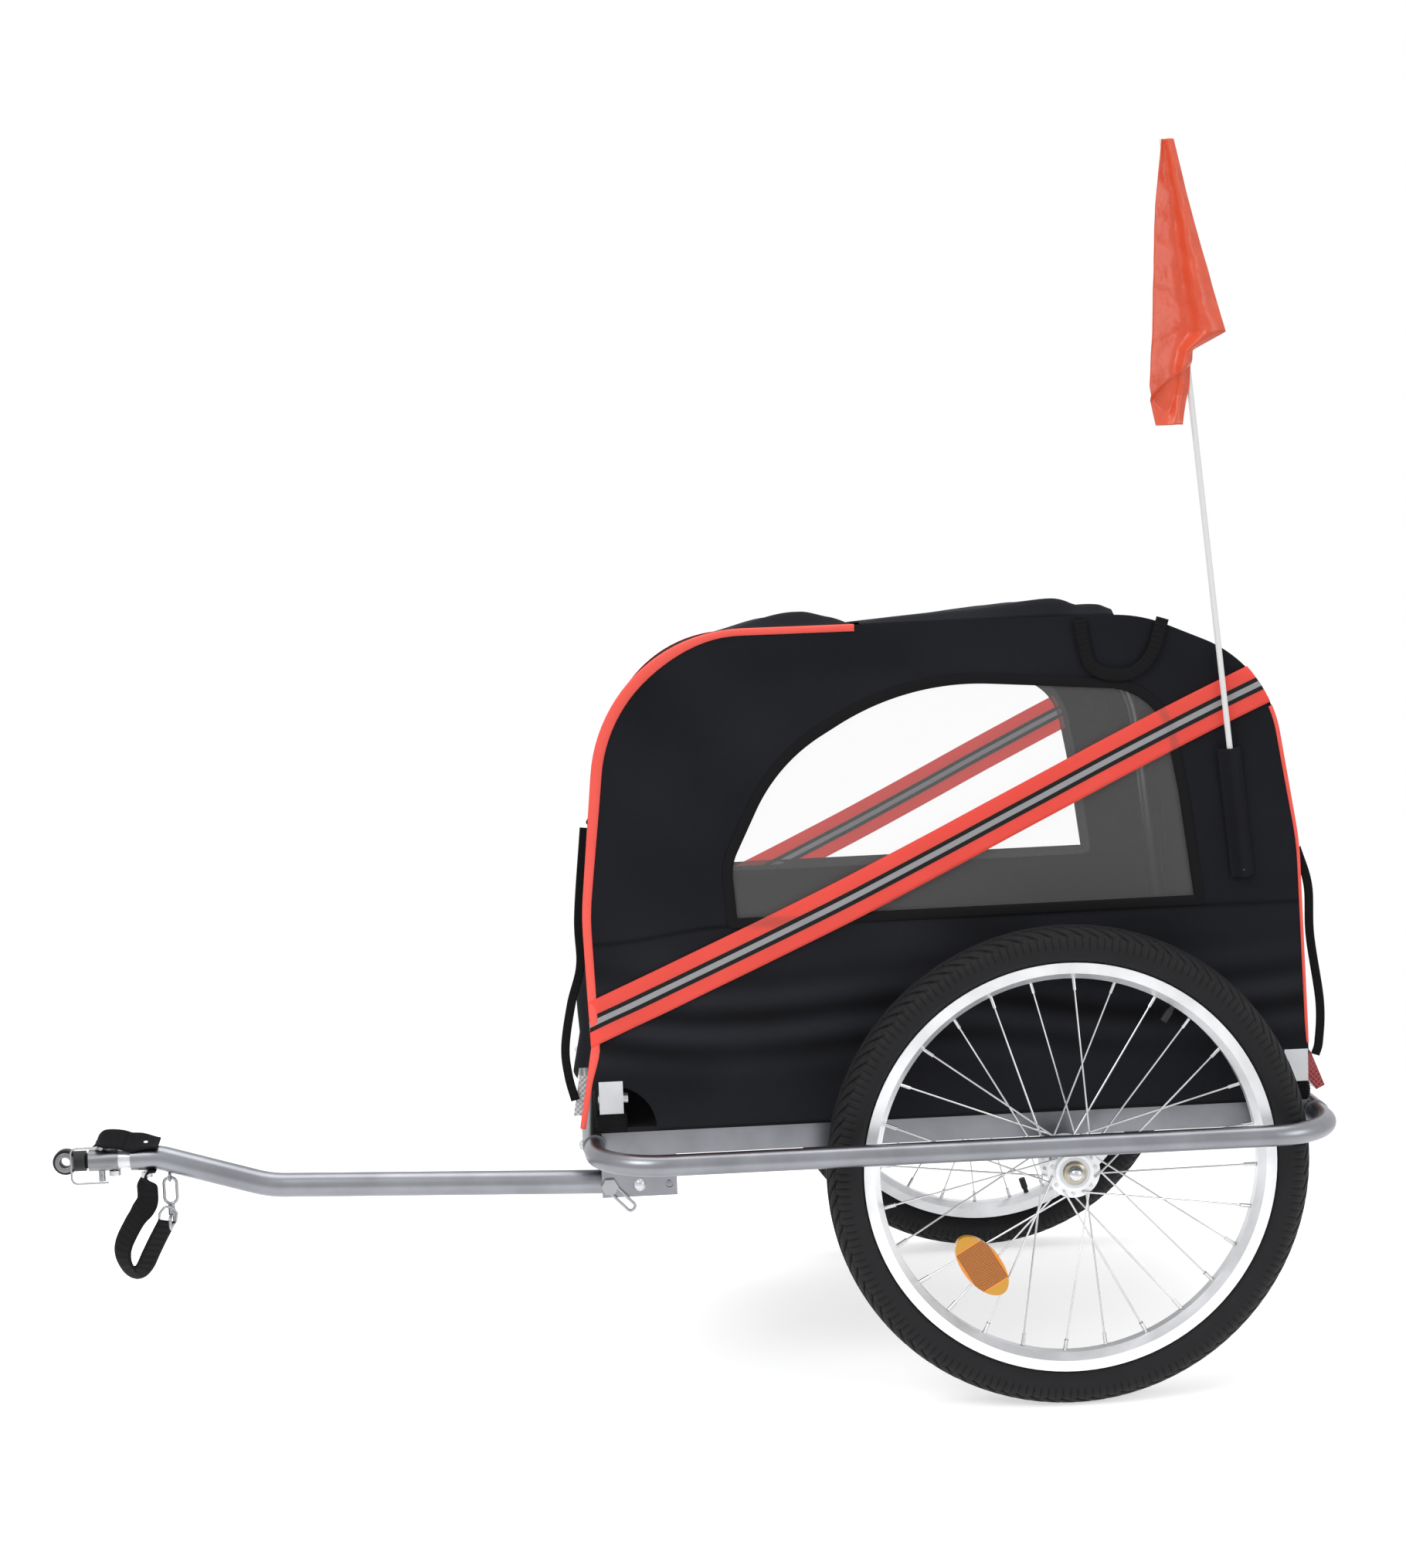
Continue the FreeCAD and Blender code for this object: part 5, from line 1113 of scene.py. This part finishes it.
# %% Tyres
def tyre(name, side):
    """The section turned about the axle, with its outside set in by the tread's depth."""
    section = tyre_section()
    angle = np.linspace(0, 2 * math.pi, 960, endpoint=False)
    r0, y0 = section.T
    outside = np.arange(len(section)) < 2 * wall_points + crown_points - 1
    depth = np.where(outside, tread_depth(angle[:, None], y0[None], r0[None]), 0)
    out_r, out_y = r0 - tyre_mid_r, y0
    size = np.hypot(out_r, out_y)
    r = r0[None] - depth * (out_r / size)[None]
    y = y0[None] - depth * (out_y / size)[None]
    flat = r[..., None] * np.stack([np.cos(angle), np.sin(angle)], -1)[:, None] + [0, wheel_z]
    grid = with_y(flat, y + side * wheel_y)
    faces = grid_faces(len(angle), len(section), True, True)
    # The groove value also puts painted shade into the grooves' colour
    return add_piece(name + "_tyre_tread", grid.reshape(-1, 3), faces, name + "_wheel", TYRE,
                     [name + "_tyre"], {"groove": np.clip(depth, 0, 1)})


for name, side in sides:
    print(name, "tyre", len(tyre(name, side).data.polygons))

# %% [markdown]
# ## Small trim
# Webbing sleeves wrap the hinge posts, and a ring closes each axle. Both are one section carried
# round: a box with round corners, that bellies out a little, and a flat ring with a slanted
# edge.


# %% Posts and rings
def post_sleeve(name, x, side):
    """A sleeve of ribbed webbing round one hinge post, wider at half height."""
    post_y, foot_z, height, web_t = 246, 295.6, 20, 1.5
    long_half, short_half, corner_r = 14, 11, 5
    corner = rounded([(-long_half, 0), (-long_half, -short_half), (long_half, -short_half),
                      (long_half, short_half), (-long_half, short_half), (-long_half, 0)],
                     [corner_r] * 4, 6)
    section = resample(corner, 90)[:-1]
    z = np.linspace(foot_z, foot_z + height, 22)
    middle_z = foot_z + height / 2
    ribs = 1 + 0.03 * np.sin(z * 2.2) + 0.14 * (1 - ((z - middle_z) / (height / 2)) ** 2)
    around = section[:, None] * ribs[None, :, None]
    grid = np.stack(np.broadcast_arrays(x + around[..., 0], side * post_y + around[..., 1],
                                        z[None]), -1)
    run = np.broadcast_to(z * MM * 4, grid.shape[:2])
    sleeve = add_cloth(name, grid, web_t, "frame", WEBBING, values={"along": run},
                       wrap_u=True)
    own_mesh(sleeve)


for name, side in sides:
    inset = nest if side > 0 else 0
    post_sleeve(name + "_front_post_sleeve", hinge_front + inset, side)
    post_sleeve(name + "_rear_post_sleeve", hinge_rear - inset, side)

ring_section = [(6.2, 36.0), (11.3, 36.0), (11.5, 35.6), (11.5, 33.4), (6.2, 36.0)]
for name, side in sides:
    section = [(r, side * (wheel_y + out)) for r, out in ring_section]
    ring = turned(name + "_brass_ring", section, 0, wheel_z, 64, "frame", BRASS)
    print(ring.name, len(ring.data.polygons))

# %% [markdown]
# ## Floor, light and camera
# A product picture has a white ground that keeps a soft shadow. The floor is a white disc that
# fades out, and the world is white to the camera and in reflections. Everything else is lit by
# a soft gradient, so that the object has a bright top and a darker underside, and by three
# large lamps, because small ones would make hard shadows.

# %% Floor
scene = bpy.context.scene
scene.view_settings.view_transform = "Standard"
floor_half, fade_from, fade_to = 8, 0.8, 1.7
floor_mesh = bpy.data.meshes.new("studio_floor")
floor_corners = [(x * floor_half, y * floor_half, 0)
                 for x, y in ((-1, -1), (1, -1), (1, 1), (-1, 1))]
floor_mesh.from_pydata(floor_corners, [], [(0, 1, 2, 3)])
floor = bpy.data.objects.new("studio_floor", floor_mesh)
scene.collection.objects.link(floor)
floor_finish = Finish("floor_white", (0.9, 0.9, 0.9), 0.9, gloss=0.0)
floor_finish.feed({"Emission Color": (1, 1, 1), "Emission Strength": 0.55})
reach = (floor_finish.x * floor_finish.x + floor_finish.y * floor_finish.y).math("SQRT")
floor_finish.blend(reach.ramp(fade_from, fade_to), add_node(floor_finish.tree, "BsdfTransparent"))
floor_mesh.materials.append(floor_finish.material)
print("floor fades out at", fade_to, "m")


# %% World and lamps
def world():
    """White where it is seen or reflected; elsewhere a gradient that is brighter above."""
    made = bpy.data.worlds.new("studio")
    scene.world = made
    made.use_nodes = True
    tree = made.node_tree
    tree.nodes.clear()
    way = add_node(tree, "TexCoord").outputs["Generated"]
    up = Val(tree, add_node(tree, "SeparateXYZ", inputs={0: way}).outputs[2])
    level = up.ramp(-0.15, 0.05) * 0.42 + up.ramp(0.3, 0.9) * 0.2 + 0.2
    light = add_node(tree, "Background", inputs={"Color": (1, 1, 1), "Strength": level})
    white = add_node(tree, "Background", inputs={"Color": (1, 1, 1)})
    path = add_node(tree, "LightPath").outputs
    camera_ray, glossy_ray, through_ray = (
        Val(tree, path[kind]) for kind in ("Is Camera Ray", "Is Glossy Ray", "Is Transmission Ray"))
    seen = (camera_ray + glossy_ray + through_ray).math("MINIMUM", 1.0)
    both = add_node(tree, "MixShader", inputs={0: seen, 1: light.outputs[0], 2: white.outputs[0]})
    add_node(tree, "OutputWorld", inputs={0: both.outputs[0]})


def softbox(name, place_at, look_at, size, watts):
    """A rectangular lamp that faces a point."""
    data = bpy.data.lights.new(name, "AREA")
    data.shape, data.size, data.size_y = "RECTANGLE", size[0], size[1]
    data.energy = watts
    lamp = bpy.data.objects.new(name, data)
    lamp.location = place_at
    lamp.rotation_euler = (Vector(look_at) - Vector(place_at)).to_track_quat("-Z", "Y").to_euler()
    scene.collection.objects.link(lamp)


world()
softbox("key", (-2.2, -2.6, 3.2), (0.1, 0, 0.4), (2.0, 2.0), 60)
softbox("top", (0.3, 0.2, 3.4), (0.2, 0, 0.4), (3.0, 2.0), 45)
softbox("fill", (2.8, -2.4, 1.4), (0.2, 0, 0.4), (1.6, 1.6), 20)
print("lamps", len(bpy.data.lights))

# %% [markdown]
# ## Camera
# The camera stands where the photograph was taken from, as fitted to both wheels: its focal
# length in pixels of a picture 2030 pixels high, its place, and its three directions.

# %% Camera
focal_px, picture_px, sensor_mm = 3521, 2030, 36
camera_at = (-0.50246 + axle_x, -3.02137, 0.94102)
right = Vector((0.9978, -0.0555, -0.0366))
down = Vector((-0.0421, -0.1009, -0.994))
ahead = Vector((0.0515, 0.9933, -0.103))
camera_data = bpy.data.cameras.new("photo_camera")
camera_data.lens = focal_px / picture_px * sensor_mm
camera_data.sensor_width, camera_data.sensor_fit = sensor_mm, "AUTO"
camera = bpy.data.objects.new("photo_camera", camera_data)
turn = Matrix((right, -down, -ahead)).transposed().to_4x4()
camera.matrix_world = Matrix.Translation(camera_at) @ turn
scene.collection.objects.link(camera)
scene.camera = camera
print("lens", round(camera_data.lens, 1), "mm")
